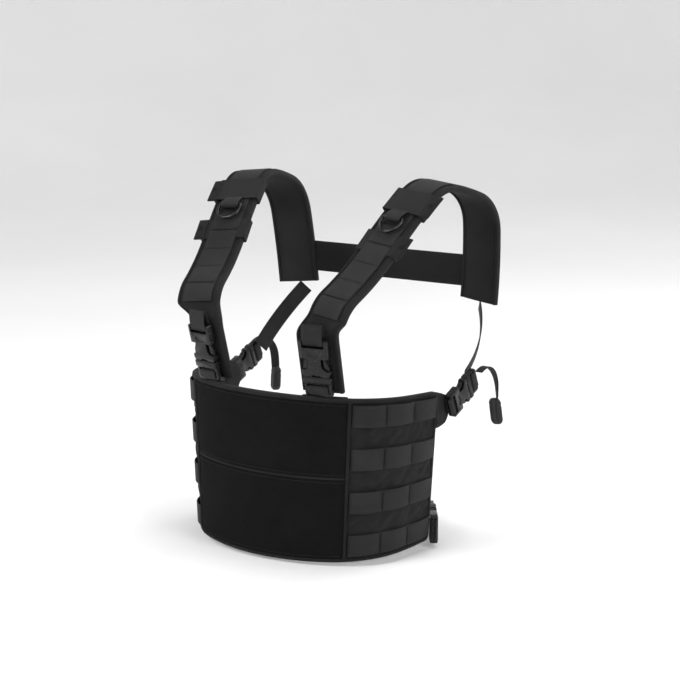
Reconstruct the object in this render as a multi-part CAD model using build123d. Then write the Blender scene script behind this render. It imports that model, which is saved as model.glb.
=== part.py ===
from build123d import *
import os
from collections import namedtuple
from math import cos, hypot, radians, sin, tan

# A chest rig on a shoulder harness, as worn. Millimetres and degrees.
# X runs to the wearer's left, Y to the back and Z up.
# The origin is on the wearer's mid-plane, inside the torso and level with the middle of the panel.
# Every strip of cloth follows a track: arcs and straights that run on from one another.
# Lengths along a track are called s, and d is the distance to the right of the way it runs,
# which is always the side away from the wearer.

Track = namedtuple("Track", "start heading arcs")

# ---- the front panel ----
# Plan of the panel's outer face from the middle of the front to the wearer's left side.
PLAN = Track((0, -157), 0, [(89, 23), (93, 55), (71, 12)])
PANEL_REACH = 232  # from the middle to each end, along the plan
PANEL_HALF_HEIGHT = 96
BINDING_WIDTH = 3
BINDING_PROUD = 0.7
LINING_D = (-6.5, -5)
FOAM_D = (-5, -1)
SHELL_D = (-1, 0)
TRIM_THICKNESS = 1.5
LOOP_REACH = 108
ROOT_REACH = (55, 108)  # the sewn foot of a shoulder strap, along the plan
ROOT_D = (-11.4, -7.4)
ROOT_DEPTH = 30
ROOT_TOP = 96
SEAM_Z = 3  # level of the seam between the two loop fields
SEAM_TAPE = 3
EDGE_TAPE = 4.5

# ---- the webbing grid on the wings ----
WEBBING = 25.4
GRID_PITCH = 2 * WEBBING
GRID_ROWS = 4
GRID_CELL = 38.1
GRID_CELLS = 3
GRID_START = 113.5
GRID_TOP = 88.9

# ---- the shoulder straps ----
# The track is the pad's outer face: up the chest, over the shoulder and down the back.
STRAP = Track((0, 0), 76, [(72, 0), (61, 72), (73, -15), (82, 8), (40, 49), (45, 9), (64, 63), (90, 8)])
STRAP_FOOT = Vector(84, -131, 88)  # where the track starts, just behind the panel's top edge
STRAP_ACROSS = Vector(1, -0.17, -0.09).normalized()  # across the strap, towards the arm
STRAP_LENGTH = sum(length for length, turn in STRAP.arcs)
LOWER_FOOT = Vector(75.5, -131, 88)  # the part behind the buckle hangs straight, further in
LOWER_TURN = 9  # degrees that it faces out towards the arm, as the chest does there
LOWER_END = 80  # the length along the strap where it starts to twist
LOWER_HALF_WIDTH = 23.5
UPPER_START = 103  # and where it has come round to the part over the shoulder
PAD_START = 12  # clear of the panel's top edge
PAD_HALF_WIDTH = 25.5
PAD_THICKNESS = 6
PIPING = 2
PIPING_PROUD = 0.6
STRAP_WEBBING_HALF = 19
STRAP_WEBBING_START = 102
STRAP_WEBBING_END = STRAP_LENGTH - 8
SEWN_GAP = 0.05  # between two layers that are sewn together
WEB = 1.6  # thickness of the webbing

# ---- keepers and D-rings on the straps ----
LOWER_KEEPER = (198, 226)
UPPER_KEEPER = (256, 288)
KEEPER_WALL = 1.5
KEEPER_GAP = 0.5
TAB_REACH = 10
TAB_THICKNESS = 2.4
RING_S = 244  # the D-ring's hinge, along the strap
RING_WIRE = 2  # radius of the ring's wire
RING_HALF = 14.5  # half the bar, between wire centres
RING_DROP = 20
RING_CORNER = 3.5
RING_LIFT = 6.4  # from the pad's face to the middle of the wire
RING_LOOP_LEG = 9
RING_LOOP_HALF = 11.5

# ---- side-release buckle, in its own frame ----
# v runs along the buckle, 0 at the mouth and positive towards the socket's bar; u runs across.
HALF_WIDTH = 17
HALF_DEPTH = 5
SOCKET_LENGTH = 44
SOCKET_WALL = 3.3
CAVITY_LENGTH = 31
CAVITY_HALF_DEPTH = 3.1
WINDOW_V = (7, 22)
SOCKET_SLOT_V = (34.5, 39)
SOCKET_BAR_HALF_DEPTH = 3
SLOT_HALF = 13.5
FOLD_HALF = 12.5  # half the webbing in the slots
PLUG_LENGTH = 24
PLUG_MOUTH_GAP = 0.4
SHOULDER_LENGTH = 8
LADDER_HALF_DEPTH = 3
LADDER_SLOTS_V = ((-13.5, -9.5), (-21, -17))
TONGUE_HALF = 3.2
TONGUE_REACH = 25
PRONG_INNER = 9.4
PRONG_OUTER = 12.2
PRONG_REACH = 26
PRONG_HALF_DEPTH = 2.6
BARB_V = (7.3, 19)
BARB_OUTER = 15.8
BARB_FLAT = 5  # the barb's straight flank, before it slopes in to the arm
BARB_DRAFT = 0.4
TIP_DRAFT = 0.8
PRONG_ROOT_GAP = 0.3
EDGE_SOFTENING = 0.8

# ---- where the buckles sit ----
FRONT_BUCKLE_S = 35
FRONT_BUCKLE_D = 6.9
SIDE_BUCKLE_SCALE = 0.88  # the two side buckles take 22 mm webbing, the others 25 mm
SIDE_BUCKLE_MOUTH = Vector(158.5, 36, 84)
SIDE_BUCKLE_RISE = 24
WAIST_HEADING = 125
WAIST_LEVEL = GRID_TOP - (GRID_ROWS - 1) * GRID_PITCH - WEBBING / 2  # in line with the last row
WAIST_BAR = (148, -14)  # plan position of the waist buckle's bar
FOLD_CLEARANCE = 0.25
FOLD_WEB = 1.4
FOLD_CORNER = 0.8
FRONT_FOLD_LEG = 16
LADDER_WEB_LEG = 5
LADDER_FOLD_LEG = 10
SOCKET_LOOP_LEG = 3

# ---- straps round the sides and the back ----
WAIST = Track(WAIST_BAR, WAIST_HEADING, [(66, 0), (45, 25)])
WAIST_STRAP_START = 62
WAIST_STRAP_D = (-6.7, -5.3)
SIDE_STRAP_FRONT = Vector(149, 50, 99)
SIDE_STRAP_BACK = Vector(131, 112, 162)
SIDE_STRAP_BOW = 7
SIDE_STRAP_OUTWARD = Vector(0.8, 0.6, 0)
SIDE_STRAP_WIDTH = 20
CROSS_STRAP_S = 495  # where it meets the shoulder straps, along them
CROSS_STRAP_WIDTH = 38
CROSS_STRAP_GAP = 3.5
SIDE_TAB = [(-18, 88), (4, 80), (8, 72), (8, 60), (2, 50), (-18, 46)]
SIDE_TAB_X = (151.2, 153)

# ---- free tails of the side straps ----
TAIL_X = (159.25, 169.75)
TAIL_ROUTE = [(54.7, 100.6), (62.5, 104), (74.5, 104), (86.5, 97.5), (94.5, 86), (98, 73), (98.5, 59)]
TAIL_WEB = 1.5
PULL_TAB_LENGTH = 31
PULL_TAB_HALF_WIDTH = 7.5
PULL_TAB_DEPTH = 12
PULL_TAB_BEVEL = 3.5
GROOVE_FROM_TOP = 11
GROOVE_WIDTH = 2.5
GROOVE_DEPTH = 1


def place(track, s):
    """Point and heading, in radians, at length s along a track."""
    x, y = track.start
    heading = radians(track.heading)
    for length, turn in track.arcs:
        step = min(s, length)
        if turn == 0:
            x += step * cos(heading)
            y += step * sin(heading)
        else:
            radius = length / radians(turn)
            after = heading + step / radius
            x += radius * (sin(after) - sin(heading))
            y -= radius * (cos(after) - cos(heading))
            heading = after
        s -= step
        if s <= 0:
            break
    return x, y, heading


def beside(track, s, d):
    """Point at length s, moved d to the right of the way the track runs."""
    x, y, heading = place(track, s)
    return x + d * sin(heading), y - d * cos(heading)


def edge_along(track, s0, s1, d):
    """The track from s0 to s1 as edges, moved d to the right."""
    edges = []
    begin = 0
    for length, turn in track.arcs:
        a = max(begin, s0)
        b = min(begin + length, s1)
        begin += length
        if b <= a:
            continue
        first = beside(track, a, d)
        last = beside(track, b, d)
        if turn == 0:
            edges.append(Line(first, last))
        else:
            edges.append(ThreePointArc(first, beside(track, (a + b) / 2, d), last))
    return edges


def strip(track, s0, s1, d0, d1):
    """Flat face between two offsets from a track, over one stretch of it."""
    sides = edge_along(track, s0, s1, d0) + edge_along(track, s0, s1, d1)
    ends = [Line(beside(track, s, d0), beside(track, s, d1)) for s in (s0, s1)]
    return make_face(sides + ends)


def raise_plan(face, z0, z1):
    """Solid over a plan face, from level z0 to level z1."""
    return extrude(Plane.XY.offset(z0) * face, amount=z1 - z0, dir=(0, 0, 1))


def mirrored(part):
    return mirror(part, about=Plane.YZ)


def both(part):
    return [part, mirrored(part)]


def across_middle(part):
    """One solid from the wearer's left half and its mirror image."""
    return part + mirrored(part)


def solids_in(part):
    """Every solid of a shape, or of a list of shapes and lists."""
    if isinstance(part, list):
        return [solid for piece in part for solid in solids_in(piece)]
    return part.solids()


def save(name, *parts):
    """Write one node, of one solid or several."""
    solids = solids_in(list(parts))
    shape = solids[0] if len(solids) == 1 else Compound(children=solids)
    export_step(shape, f"parts/{name}.step")


def save_sides(name, part):
    save(f"{name}_left", part)
    save(f"{name}_right", mirrored(part))


# ---- the front panel ----


def panel_layer(depths):
    reach = PANEL_REACH - BINDING_WIDTH
    top = PANEL_HALF_HEIGHT - BINDING_WIDTH
    return across_middle(raise_plan(strip(PLAN, 0, reach, *depths), -top, top))


def panel_binding():
    depths = (LINING_D[0] - BINDING_PROUD, BINDING_PROUD)
    inner = PANEL_HALF_HEIGHT - BINDING_WIDTH
    end = strip(PLAN, PANEL_REACH - BINDING_WIDTH, PANEL_REACH, *depths)
    rail = strip(PLAN, 0, PANEL_REACH, *depths)
    frame = raise_plan(end, -inner, inner)
    frame += raise_plan(rail, inner, PANEL_HALF_HEIGHT)
    frame += raise_plan(rail, -PANEL_HALF_HEIGHT, -inner)
    return across_middle(frame)


def strap_root():
    """The foot of a shoulder strap, sewn flat behind the panel's top edge."""
    return raise_plan(strip(PLAN, *ROOT_REACH, *ROOT_D), PANEL_HALF_HEIGHT - ROOT_DEPTH, ROOT_TOP)


def loop_field(bottom, top):
    return across_middle(raise_plan(strip(PLAN, 0, LOOP_REACH, 0, TRIM_THICKNESS), bottom, top))


def seam_tapes():
    """The tape along the middle seam and the two upright ones where the wings start."""
    height = PANEL_HALF_HEIGHT - BINDING_WIDTH
    level = raise_plan(
        strip(PLAN, 0, LOOP_REACH, 0, TRIM_THICKNESS), SEAM_Z - SEAM_TAPE / 2, SEAM_Z + SEAM_TAPE / 2
    )
    upright = raise_plan(
        strip(PLAN, LOOP_REACH, LOOP_REACH + EDGE_TAPE, 0, TRIM_THICKNESS), -height, height
    )
    return [across_middle(level), *both(upright)]


def webbing_grid():
    end = GRID_START + GRID_CELLS * GRID_CELL
    face = strip(PLAN, GRID_START, end, 0, TRIM_THICKNESS)
    tops = [GRID_TOP - row * GRID_PITCH for row in range(GRID_ROWS)]
    return [raise_plan(face, top - WEBBING, top) for top in tops]


# ---- the shoulder straps ----

STRAP_BACKWARD = Vector(0, 0, 1).cross(STRAP_ACROSS).normalized()
STRAP_PLANE = Plane(origin=STRAP_FOOT, x_dir=-STRAP_BACKWARD, z_dir=-STRAP_ACROSS)
LOWER_ACROSS = Vector(cos(radians(LOWER_TURN)), sin(radians(LOWER_TURN)), 0)
LOWER_PLANE = Plane(
    origin=LOWER_FOOT, x_dir=LOWER_ACROSS.cross(Vector(0, 0, 1)), z_dir=-LOWER_ACROSS
)


def strap_point(s, d, across=0):
    """Point on the left strap in the rig's own frame."""
    x, y = beside(STRAP, s, d)
    return STRAP_PLANE.from_local_coords(Vector(x, y, -across))


def strap_solid(s0, s1, d0, d1, inner, outer):
    """Piece of the left strap between two lengths, depths and distances towards the arm."""
    face = STRAP_PLANE * strip(STRAP, s0, s1, d0, d1)
    return extrude(face.moved(Location(STRAP_ACROSS * inner)), amount=outer - inner, dir=STRAP_ACROSS)


def cross_section(plane, s, half):
    """The pad's section at length s: a face square to the track."""
    outer = beside(STRAP, s, 0)
    inner = beside(STRAP, s, -PAD_THICKNESS)
    corners = [
        plane.from_local_coords(Vector(*point, side * half))
        for point, side in ((outer, -1), (outer, 1), (inner, 1), (inner, -1))
    ]
    return make_face(Polyline(*corners, close=True))


def strap_pad():
    """The straight part behind the buckle, a twisted length and the part over the shoulder."""
    half = LOWER_HALF_WIDTH
    lower = LOWER_PLANE * strip(STRAP, PAD_START, LOWER_END, -PAD_THICKNESS, 0)
    lower = extrude(lower, amount=half, dir=LOWER_ACROSS, both=True)
    twist = loft(
        [
            cross_section(LOWER_PLANE, LOWER_END, half),
            cross_section(STRAP_PLANE, UPPER_START, PAD_HALF_WIDTH),
        ],
        ruled=True,
    )
    half = PAD_HALF_WIDTH
    upper = strap_solid(UPPER_START, STRAP_LENGTH, -PAD_THICKNESS, 0, -half, half)
    return lower + twist + upper


def strap_piping():
    """The bound edges, inner and outer, as two solids."""
    depths = (-PAD_THICKNESS - PIPING_PROUD, PIPING_PROUD)
    inner = PAD_HALF_WIDTH
    outer = PAD_HALF_WIDTH + PIPING
    return [
        strap_solid(UPPER_START, STRAP_LENGTH, *depths, inner, outer),
        strap_solid(UPPER_START, STRAP_LENGTH, *depths, -outer, -inner),
    ]


def strap_webbing():
    half = STRAP_WEBBING_HALF
    return strap_solid(STRAP_WEBBING_START, STRAP_WEBBING_END, SEWN_GAP, SEWN_GAP + WEB, -half, half)


def keeper(s0, s1):
    """A band round the strap with a flat tab towards the arm."""
    front = WEB + KEEPER_GAP
    back = -PAD_THICKNESS - PIPING_PROUD - KEEPER_GAP
    half = PAD_HALF_WIDTH + PIPING + KEEPER_GAP
    outside = strap_solid(
        s0, s1, back - KEEPER_WALL, front + KEEPER_WALL, -half - KEEPER_WALL, half + KEEPER_WALL
    )
    inside = strap_solid(s0 - 1, s1 + 1, back, front, -half, half)
    tab_depths = (front + KEEPER_WALL - TAB_THICKNESS, front + KEEPER_WALL)
    tab = strap_solid(s0, s1, *tab_depths, half, half + KEEPER_WALL + TAB_REACH)
    return outside - inside + tab


# ---- D-rings ----


def ring_plane():
    """At the middle of the ring's bar: x across the strap, y up along it and z off its face."""
    x, y, heading = place(STRAP, RING_S)
    up = STRAP_PLANE.x_dir * cos(heading) + STRAP_PLANE.y_dir * sin(heading)
    return Plane(
        origin=strap_point(RING_S, RING_LIFT), x_dir=STRAP_ACROSS, z_dir=STRAP_ACROSS.cross(up)
    )


def d_ring():
    """Wire of one thickness round a closed path: the bar, two rounded corners and the bow."""
    half = RING_HALF
    bend = RING_CORNER
    inset = bend * (1 - cos(radians(45)))
    leg = half - RING_DROP
    path = Wire(
        [
            Line((bend - half, 0), (half - bend, 0)),
            ThreePointArc((half - bend, 0), (half - inset, -inset), (half, -bend)),
            Line((half, -bend), (half, leg)),
            ThreePointArc((half, leg), (0, -RING_DROP), (-half, leg)),
            Line((-half, leg), (-half, -bend)),
            ThreePointArc((-half, -bend), (inset - half, -inset), (bend - half, 0)),
        ]
    )
    start = Plane(origin=(bend - half, 0, 0), z_dir=(1, 0, 0))
    return ring_plane() * sweep(start * Circle(RING_WIRE), path=path)


def staple(bar_length, bar_half, leg, thickness):
    """Section of webbing folded round a bar, in the plane (v, z), with its legs towards +v.

    The bar runs from v = 0 to bar_length and is bar_half deep each way.
    """
    corner = FOLD_CORNER
    half = bar_half + FOLD_CLEARANCE
    run = bar_length + FOLD_CLEARANCE + leg - corner
    quarter = radians(90) * corner
    track = Track(
        (bar_length + leg, half),
        180,
        [(run, 0), (quarter, 90), (2 * (half - corner), 0), (quarter, 90), (run, 0)],
    )
    total = sum(length for length, turn in track.arcs)
    return strip(track, 0, total, 0, thickness)


def fold_solid(frame, face, v, direction, half_width):
    """The staple placed on a frame, v along its y axis, legs towards +v (1) or -v (-1)."""
    section = Plane(origin=(0, v, 0), x_dir=(0, direction, 0), z_dir=(1, 0, 0))
    solid = extrude(section * face, amount=half_width, dir=(1, 0, 0), both=True)
    return frame * solid


def ring_loop():
    """The webbing that holds the ring's bar, sewn down above it."""
    face = staple(2 * RING_WIRE, RING_WIRE, RING_LOOP_LEG, FOLD_WEB)
    return fold_solid(ring_plane(), face, -RING_WIRE, 1, RING_LOOP_HALF)


# ---- side-release buckles ----


def block(u0, u1, v0, v1, half_depth):
    return Pos((u0 + u1) / 2, (v0 + v1) / 2, 0) * Box(u1 - u0, v1 - v0, 2 * half_depth)


def slot(v0, v1):
    return block(-SLOT_HALF, SLOT_HALF, v0, v1, 2 * HALF_DEPTH)


def softened(part):
    """The same part with its long outer edges rounded."""
    edges = part.edges().filter_by(Axis.Y).group_by(lambda e: abs(e.center().X))[-1]
    return fillet(edges, EDGE_SOFTENING)


def socket():
    """The half with the mouth: hollow, open at the sides, with a bar for the webbing."""
    body = softened(block(-HALF_WIDTH, HALF_WIDTH, 0, SOCKET_LENGTH, HALF_DEPTH))
    cavity_half = HALF_WIDTH - SOCKET_WALL
    cavity = block(-cavity_half, cavity_half, -1, CAVITY_LENGTH, CAVITY_HALF_DEPTH)
    window = block(-2 * HALF_WIDTH, 2 * HALF_WIDTH, *WINDOW_V, CAVITY_HALF_DEPTH)
    part = body - cavity - window - slot(*SOCKET_SLOT_V)
    for side in (-1, 1):
        relief = block(-SLOT_HALF, SLOT_HALF, SOCKET_SLOT_V[1], SOCKET_LENGTH + 1, HALF_DEPTH)
        part -= Pos(0, 0, side * (HALF_DEPTH + SOCKET_BAR_HALF_DEPTH)) * relief
    return part


def plug():
    """The half that goes in: a ladder for the webbing, a shoulder and a middle tongue."""
    shoulder = softened(
        block(-HALF_WIDTH, HALF_WIDTH, -SHOULDER_LENGTH, -PLUG_MOUTH_GAP, HALF_DEPTH)
    )
    ladder = block(-HALF_WIDTH, HALF_WIDTH, -PLUG_LENGTH, -SHOULDER_LENGTH, LADDER_HALF_DEPTH)
    tongue = block(-TONGUE_HALF, TONGUE_HALF, -PLUG_MOUTH_GAP, TONGUE_REACH, PRONG_HALF_DEPTH)
    part = shoulder + ladder + tongue
    for v0, v1 in LADDER_SLOTS_V:
        part -= slot(v0, v1)
    return part


def prong():
    """The sprung arm on the +u side, with the barb that shows in the socket's window."""
    root = -PLUG_MOUTH_GAP + PRONG_ROOT_GAP
    outline = Polyline(
        (PRONG_INNER, root),
        (PRONG_OUTER, root),
        (PRONG_OUTER, BARB_V[0]),
        (BARB_OUTER, BARB_V[0]),
        (BARB_OUTER - BARB_DRAFT, BARB_V[0] + BARB_FLAT),
        (PRONG_OUTER, BARB_V[1]),
        (PRONG_OUTER - TIP_DRAFT, PRONG_REACH),
        (PRONG_INNER, PRONG_REACH),
        close=True,
    )
    return extrude(make_face(outline), amount=PRONG_HALF_DEPTH, both=True)


def socket_fold(leg):
    """Webbing folded round the socket's bar."""
    face = staple(SOCKET_LENGTH - SOCKET_SLOT_V[1], SOCKET_BAR_HALF_DEPTH, leg, FOLD_WEB)
    return fold_solid(Plane.XY, face, SOCKET_SLOT_V[1], 1, FOLD_HALF)


def ladder_fold(leg):
    """Webbing folded round the ladder's middle bar."""
    upper = LADDER_SLOTS_V[0][0]
    lower = LADDER_SLOTS_V[1][1]
    face = staple(upper - lower, LADDER_HALF_DEPTH, leg, FOLD_WEB)
    return fold_solid(Plane.XY, face, upper, -1, FOLD_HALF)


def buckle_frame(mouth, towards_bar, outward):
    return Plane(origin=mouth, x_dir=towards_bar.cross(outward), z_dir=outward)


def front_frame():
    x, y, heading = place(STRAP, FRONT_BUCKLE_S)
    up = LOWER_PLANE.x_dir * cos(heading) + LOWER_PLANE.y_dir * sin(heading)
    out = LOWER_PLANE.x_dir * sin(heading) - LOWER_PLANE.y_dir * cos(heading)
    face = LOWER_PLANE.from_local_coords(Vector(x, y, 0))
    return buckle_frame(face + out * FRONT_BUCKLE_D, up, out)


def side_frame():
    rise = radians(SIDE_BUCKLE_RISE)
    return buckle_frame(SIDE_BUCKLE_MOUTH, Vector(0, -cos(rise), -sin(rise)), Vector(1, 0, 0))


def waist_frame():
    heading = radians(WAIST_HEADING)
    back = Vector(cos(heading), sin(heading), 0)
    mouth = Vector(*WAIST_BAR, WAIST_LEVEL) + back * SOCKET_LENGTH
    return buckle_frame(mouth, -back, Vector(sin(heading), -cos(heading), 0))


def save_buckle(name, frame, size=1):
    """The socket, the plug and both prongs of one buckle and of its twin on the other side."""

    def put(part):
        return frame * (part if size == 1 else scale(part, by=size))

    save_sides(f"{name}_socket", put(socket()))
    save_sides(f"{name}_plug", put(plug()))
    save_sides(f"{name}_prong_a", put(prong()))
    save_sides(f"{name}_prong_b", put(mirror(prong(), about=Plane.YZ)))
    return put


# ---- straps round the sides and the back ----


def side_tab():
    outline = Polyline(*SIDE_TAB, close=True)
    plane = Plane(origin=(SIDE_TAB_X[0], 0, 0), x_dir=(0, 1, 0), z_dir=(1, 0, 0))
    plate = extrude(plane * make_face(outline), amount=SIDE_TAB_X[1] - SIDE_TAB_X[0])
    return plate


def side_strap():
    """Webbing from the side buckle up round the ribs to the back end of the shoulder strap."""
    chord = SIDE_STRAP_BACK - SIDE_STRAP_FRONT
    across = chord.cross(SIDE_STRAP_OUTWARD).normalized()
    bow = across.cross(chord).normalized()
    half = chord.length / 2
    plane = Plane(origin=SIDE_STRAP_FRONT, x_dir=chord, z_dir=across)
    rise = SIDE_STRAP_BOW if plane.y_dir.dot(bow) > 0 else -SIDE_STRAP_BOW
    radius = (half**2 + rise**2) / (2 * abs(rise))
    grown = (radius + WEB) / radius
    centre = Vector(half, rise - radius if rise > 0 else rise + radius)

    def out(point):
        return centre + (Vector(*point) - centre) * grown

    ends = [(0, 0), (2 * half, 0)]
    crown = (half, rise)
    face = make_face(
        [
            ThreePointArc(ends[0], crown, ends[1]),
            Line(ends[1], out(ends[1])),
            ThreePointArc(out(ends[1]), out(crown), out(ends[0])),
            Line(out(ends[0]), ends[0]),
        ]
    )
    return extrude(plane * face, amount=SIDE_STRAP_WIDTH / 2, both=True)


def waist_strap():
    x, y, heading = place(WAIST, sum(length for length, turn in WAIST.arcs))
    radius = x / sin(heading)
    closing = (radius * (radians(180) - heading), 180 - WAIST.heading - WAIST.arcs[1][1])
    track = Track(WAIST.start, WAIST.heading, WAIST.arcs + [closing])
    total = sum(length for length, turn in track.arcs)
    face = strip(track, WAIST_STRAP_START, total, *WAIST_STRAP_D)
    half = raise_plan(face, WAIST_LEVEL - WEBBING / 2, WAIST_LEVEL + WEBBING / 2)
    return across_middle(half)


def cross_strap():
    """Straight band between the inner edges of the two shoulder straps at the back."""
    inner_edge = -PAD_HALF_WIDTH - PIPING
    corner = strap_point(CROSS_STRAP_S, 0, inner_edge)
    reach = corner.X - CROSS_STRAP_GAP
    return Pos(0, corner.Y - PAD_THICKNESS / 2, corner.Z) * Box(2 * reach, WEB, CROSS_STRAP_WIDTH)


# ---- free tails of the side straps ----


def bend_radius(before, corner, after):
    """Radius of a bend: a tangent length of 0.45 of the shorter run beside the corner."""
    ax, ay = corner[0] - before[0], corner[1] - before[1]
    bx, by = after[0] - corner[0], after[1] - corner[1]
    turn = Vector(ax, ay).get_angle(Vector(bx, by))
    return 0.45 * min(hypot(ax, ay), hypot(bx, by)) / tan(radians(turn) / 2)


def tail_radii():
    return [bend_radius(*TAIL_ROUTE[i : i + 3]) for i in range(len(TAIL_ROUTE) - 2)]


def side_tail():
    """The spare webbing, curving over and hanging behind the side buckle."""
    radii = tail_radii()
    print("bend radii of the tail:", [round(radius, 1) for radius in radii])
    path = FilletPolyline(*TAIL_ROUTE, radius=radii)
    plane = Plane(origin=(TAIL_X[0], 0, 0), x_dir=(0, 1, 0), z_dir=(1, 0, 0))
    ribbon = trace(path, line_width=TAIL_WEB)
    return extrude(plane * ribbon, amount=TAIL_X[1] - TAIL_X[0])


def pull_tab():
    """Moulded eight-sided grip on the tail's end, with a groove round it."""
    y, top = TAIL_ROUTE[-1]
    half = PULL_TAB_HALF_WIDTH
    bottom = top - PULL_TAB_LENGTH
    outline = Polyline(
        (PULL_TAB_BEVEL - half, top),
        (half - PULL_TAB_BEVEL, top),
        (half, top - PULL_TAB_BEVEL),
        (half, bottom + PULL_TAB_BEVEL),
        (half - PULL_TAB_BEVEL, bottom),
        (PULL_TAB_BEVEL - half, bottom),
        (-half, bottom + PULL_TAB_BEVEL),
        (-half, top - PULL_TAB_BEVEL),
        close=True,
    )
    x = (TAIL_X[0] + TAIL_X[1]) / 2
    plane = Plane(origin=(x, y, 0), x_dir=(1, 0, 0), z_dir=(0, -1, 0))
    body = extrude(plane * make_face(outline), amount=PULL_TAB_DEPTH / 2, both=True)
    at_groove = Location((x, y, top - GROOVE_FROM_TOP))
    outside = at_groove * Box(2 * half, PULL_TAB_DEPTH, GROOVE_WIDTH)
    core = at_groove * Box(
        2 * (half - GROOVE_DEPTH), PULL_TAB_DEPTH - 2 * GROOVE_DEPTH, GROOVE_WIDTH
    )
    return body - (outside - core)


def build():
    save("panel_lining", panel_layer(LINING_D))
    save("panel_foam", panel_layer(FOAM_D))
    save("panel_shell", panel_layer(SHELL_D))
    save("panel_binding", panel_binding())
    height = PANEL_HALF_HEIGHT - BINDING_WIDTH
    save("loop_field_upper", loop_field(SEAM_Z + SEAM_TAPE / 2, height))
    save("loop_field_lower", loop_field(-height, SEAM_Z - SEAM_TAPE / 2))
    save("seam_tapes", seam_tapes())
    grid = webbing_grid()
    save("webbing_grid_left", grid)
    save("webbing_grid_right", [mirrored(row) for row in grid])

    save("strap_roots", both(strap_root()))
    save_sides("strap_pad", strap_pad())
    save_sides("strap_webbing", strap_webbing())
    save("strap_piping", [both(edge) for edge in strap_piping()])
    save("strap_keepers", both(keeper(*LOWER_KEEPER)), both(keeper(*UPPER_KEEPER)))
    save_sides("d_ring", d_ring())
    save("d_ring_loops", both(ring_loop()))

    put = save_buckle("front", front_frame())
    save_sides("front_fold", put(socket_fold(FRONT_FOLD_LEG)))
    save("front_ladder_webbing", both(put(ladder_fold(LADDER_WEB_LEG))))

    put = save_buckle("side", side_frame(), SIDE_BUCKLE_SCALE)
    save_sides("side_fold", put(ladder_fold(LADDER_FOLD_LEG)))
    socket_loops = both(put(socket_fold(SOCKET_LOOP_LEG)))

    put = save_buckle("waist", waist_frame())
    save_sides("waist_fold", put(ladder_fold(LADDER_FOLD_LEG)))
    save("socket_loops", socket_loops, both(put(socket_fold(SOCKET_LOOP_LEG))))

    save("side_tabs", both(side_tab()))
    save_sides("side_strap", side_strap())
    save("waist_strap", waist_strap())
    save("cross_strap", cross_strap())
    save_sides("side_tail", side_tail())
    save_sides("pull_tab", pull_tab())


build()
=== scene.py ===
from math import atan2, ceil, copysign, cos, pi, radians, sin

import bmesh
import bpy
from mathutils import Matrix, Vector, noise


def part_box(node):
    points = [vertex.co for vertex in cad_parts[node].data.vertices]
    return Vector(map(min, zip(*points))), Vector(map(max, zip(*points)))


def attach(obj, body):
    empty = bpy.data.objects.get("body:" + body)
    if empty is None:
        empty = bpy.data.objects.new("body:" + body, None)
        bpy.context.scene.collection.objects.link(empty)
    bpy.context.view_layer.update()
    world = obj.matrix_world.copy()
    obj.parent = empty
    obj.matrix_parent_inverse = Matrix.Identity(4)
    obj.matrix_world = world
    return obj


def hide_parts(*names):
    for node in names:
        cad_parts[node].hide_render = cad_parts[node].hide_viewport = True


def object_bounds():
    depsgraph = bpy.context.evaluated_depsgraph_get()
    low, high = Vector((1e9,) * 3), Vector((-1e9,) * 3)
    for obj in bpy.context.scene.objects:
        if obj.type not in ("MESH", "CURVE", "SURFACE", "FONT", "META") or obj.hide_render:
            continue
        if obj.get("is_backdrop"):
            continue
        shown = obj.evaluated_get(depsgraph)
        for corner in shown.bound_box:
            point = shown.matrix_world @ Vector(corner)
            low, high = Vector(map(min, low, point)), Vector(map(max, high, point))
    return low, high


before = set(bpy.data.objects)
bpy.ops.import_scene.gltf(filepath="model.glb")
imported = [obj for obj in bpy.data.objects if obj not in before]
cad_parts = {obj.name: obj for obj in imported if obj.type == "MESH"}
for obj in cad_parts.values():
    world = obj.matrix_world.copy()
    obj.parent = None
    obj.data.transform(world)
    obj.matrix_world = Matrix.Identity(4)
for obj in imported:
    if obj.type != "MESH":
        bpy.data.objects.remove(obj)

CAD_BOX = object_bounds()
MM = 0.001
SIDES = {"left": 1, "right": -1}
UP = Vector((0, 0, 1))

# All lengths below are in millimetres, in the frame of the CAD model, until new_piece scales them.
# A track is a start, a heading in degrees and arcs of (length, turn); s is the length along it
# and d the distance to the right of the way it runs, which is away from the wearer.

PLAN = ((0, -157), 0, [(89, 23), (93, 55), (71, 12)])
PANEL_REACH = 232
PANEL_HALF_HEIGHT = 96
PANEL_BACK = -6.5
PANEL_MIDDLE = -3
PANEL_CORNER = 7
PANEL_LEAN = 0.0004
PANEL_TAPER = 0.0143
LOOP_REACH = 108
EDGE_TAPE = 4.5
SEAM_Z = 3
SEAM_TAPE = 3

WEBBING = 25.4
GRID_ROWS = 4
GRID_CELL = 38.1
GRID_CELLS = 3
GRID_START = 113.5
GRID_TOP = 88.9
GRID_BULGE = 2.3
WEB = 1.5

STRAP = ((0, 0), 76, [(72, 0), (61, 72), (73, -15), (82, 8), (40, 49), (45, 9), (64, 63), (90, 8)])
STRAP_LENGTH = sum(length for length, turn in STRAP[2])
STRAP_FOOT = Vector((84, -131, 88))
STRAP_ACROSS = Vector((1, -0.17, -0.09)).normalized()
STRAP_FORWARD = -UP.cross(STRAP_ACROSS).normalized()
STRAP_UPWARD = STRAP_FORWARD.cross(STRAP_ACROSS)
LOWER_FOOT = Vector((75.5, -131, 88))
LOWER_TURN = radians(9)
LOWER_END = 80
LOWER_HALF_WIDTH = 23.5
UPPER_START = 103
PAD_START = 12
PAD_HALF_WIDTH = 25.5
PAD_THICKNESS = 6
STRAP_WEBBING_HALF = 19
STRAP_WEBBING_START = 102
STRAP_WEBBING_END = STRAP_LENGTH - 8
STRAP_CELL = 28
LOWER_KEEPER = (198, 226)
UPPER_KEEPER = (256, 288)
KEEPER_TAB = 13

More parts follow.
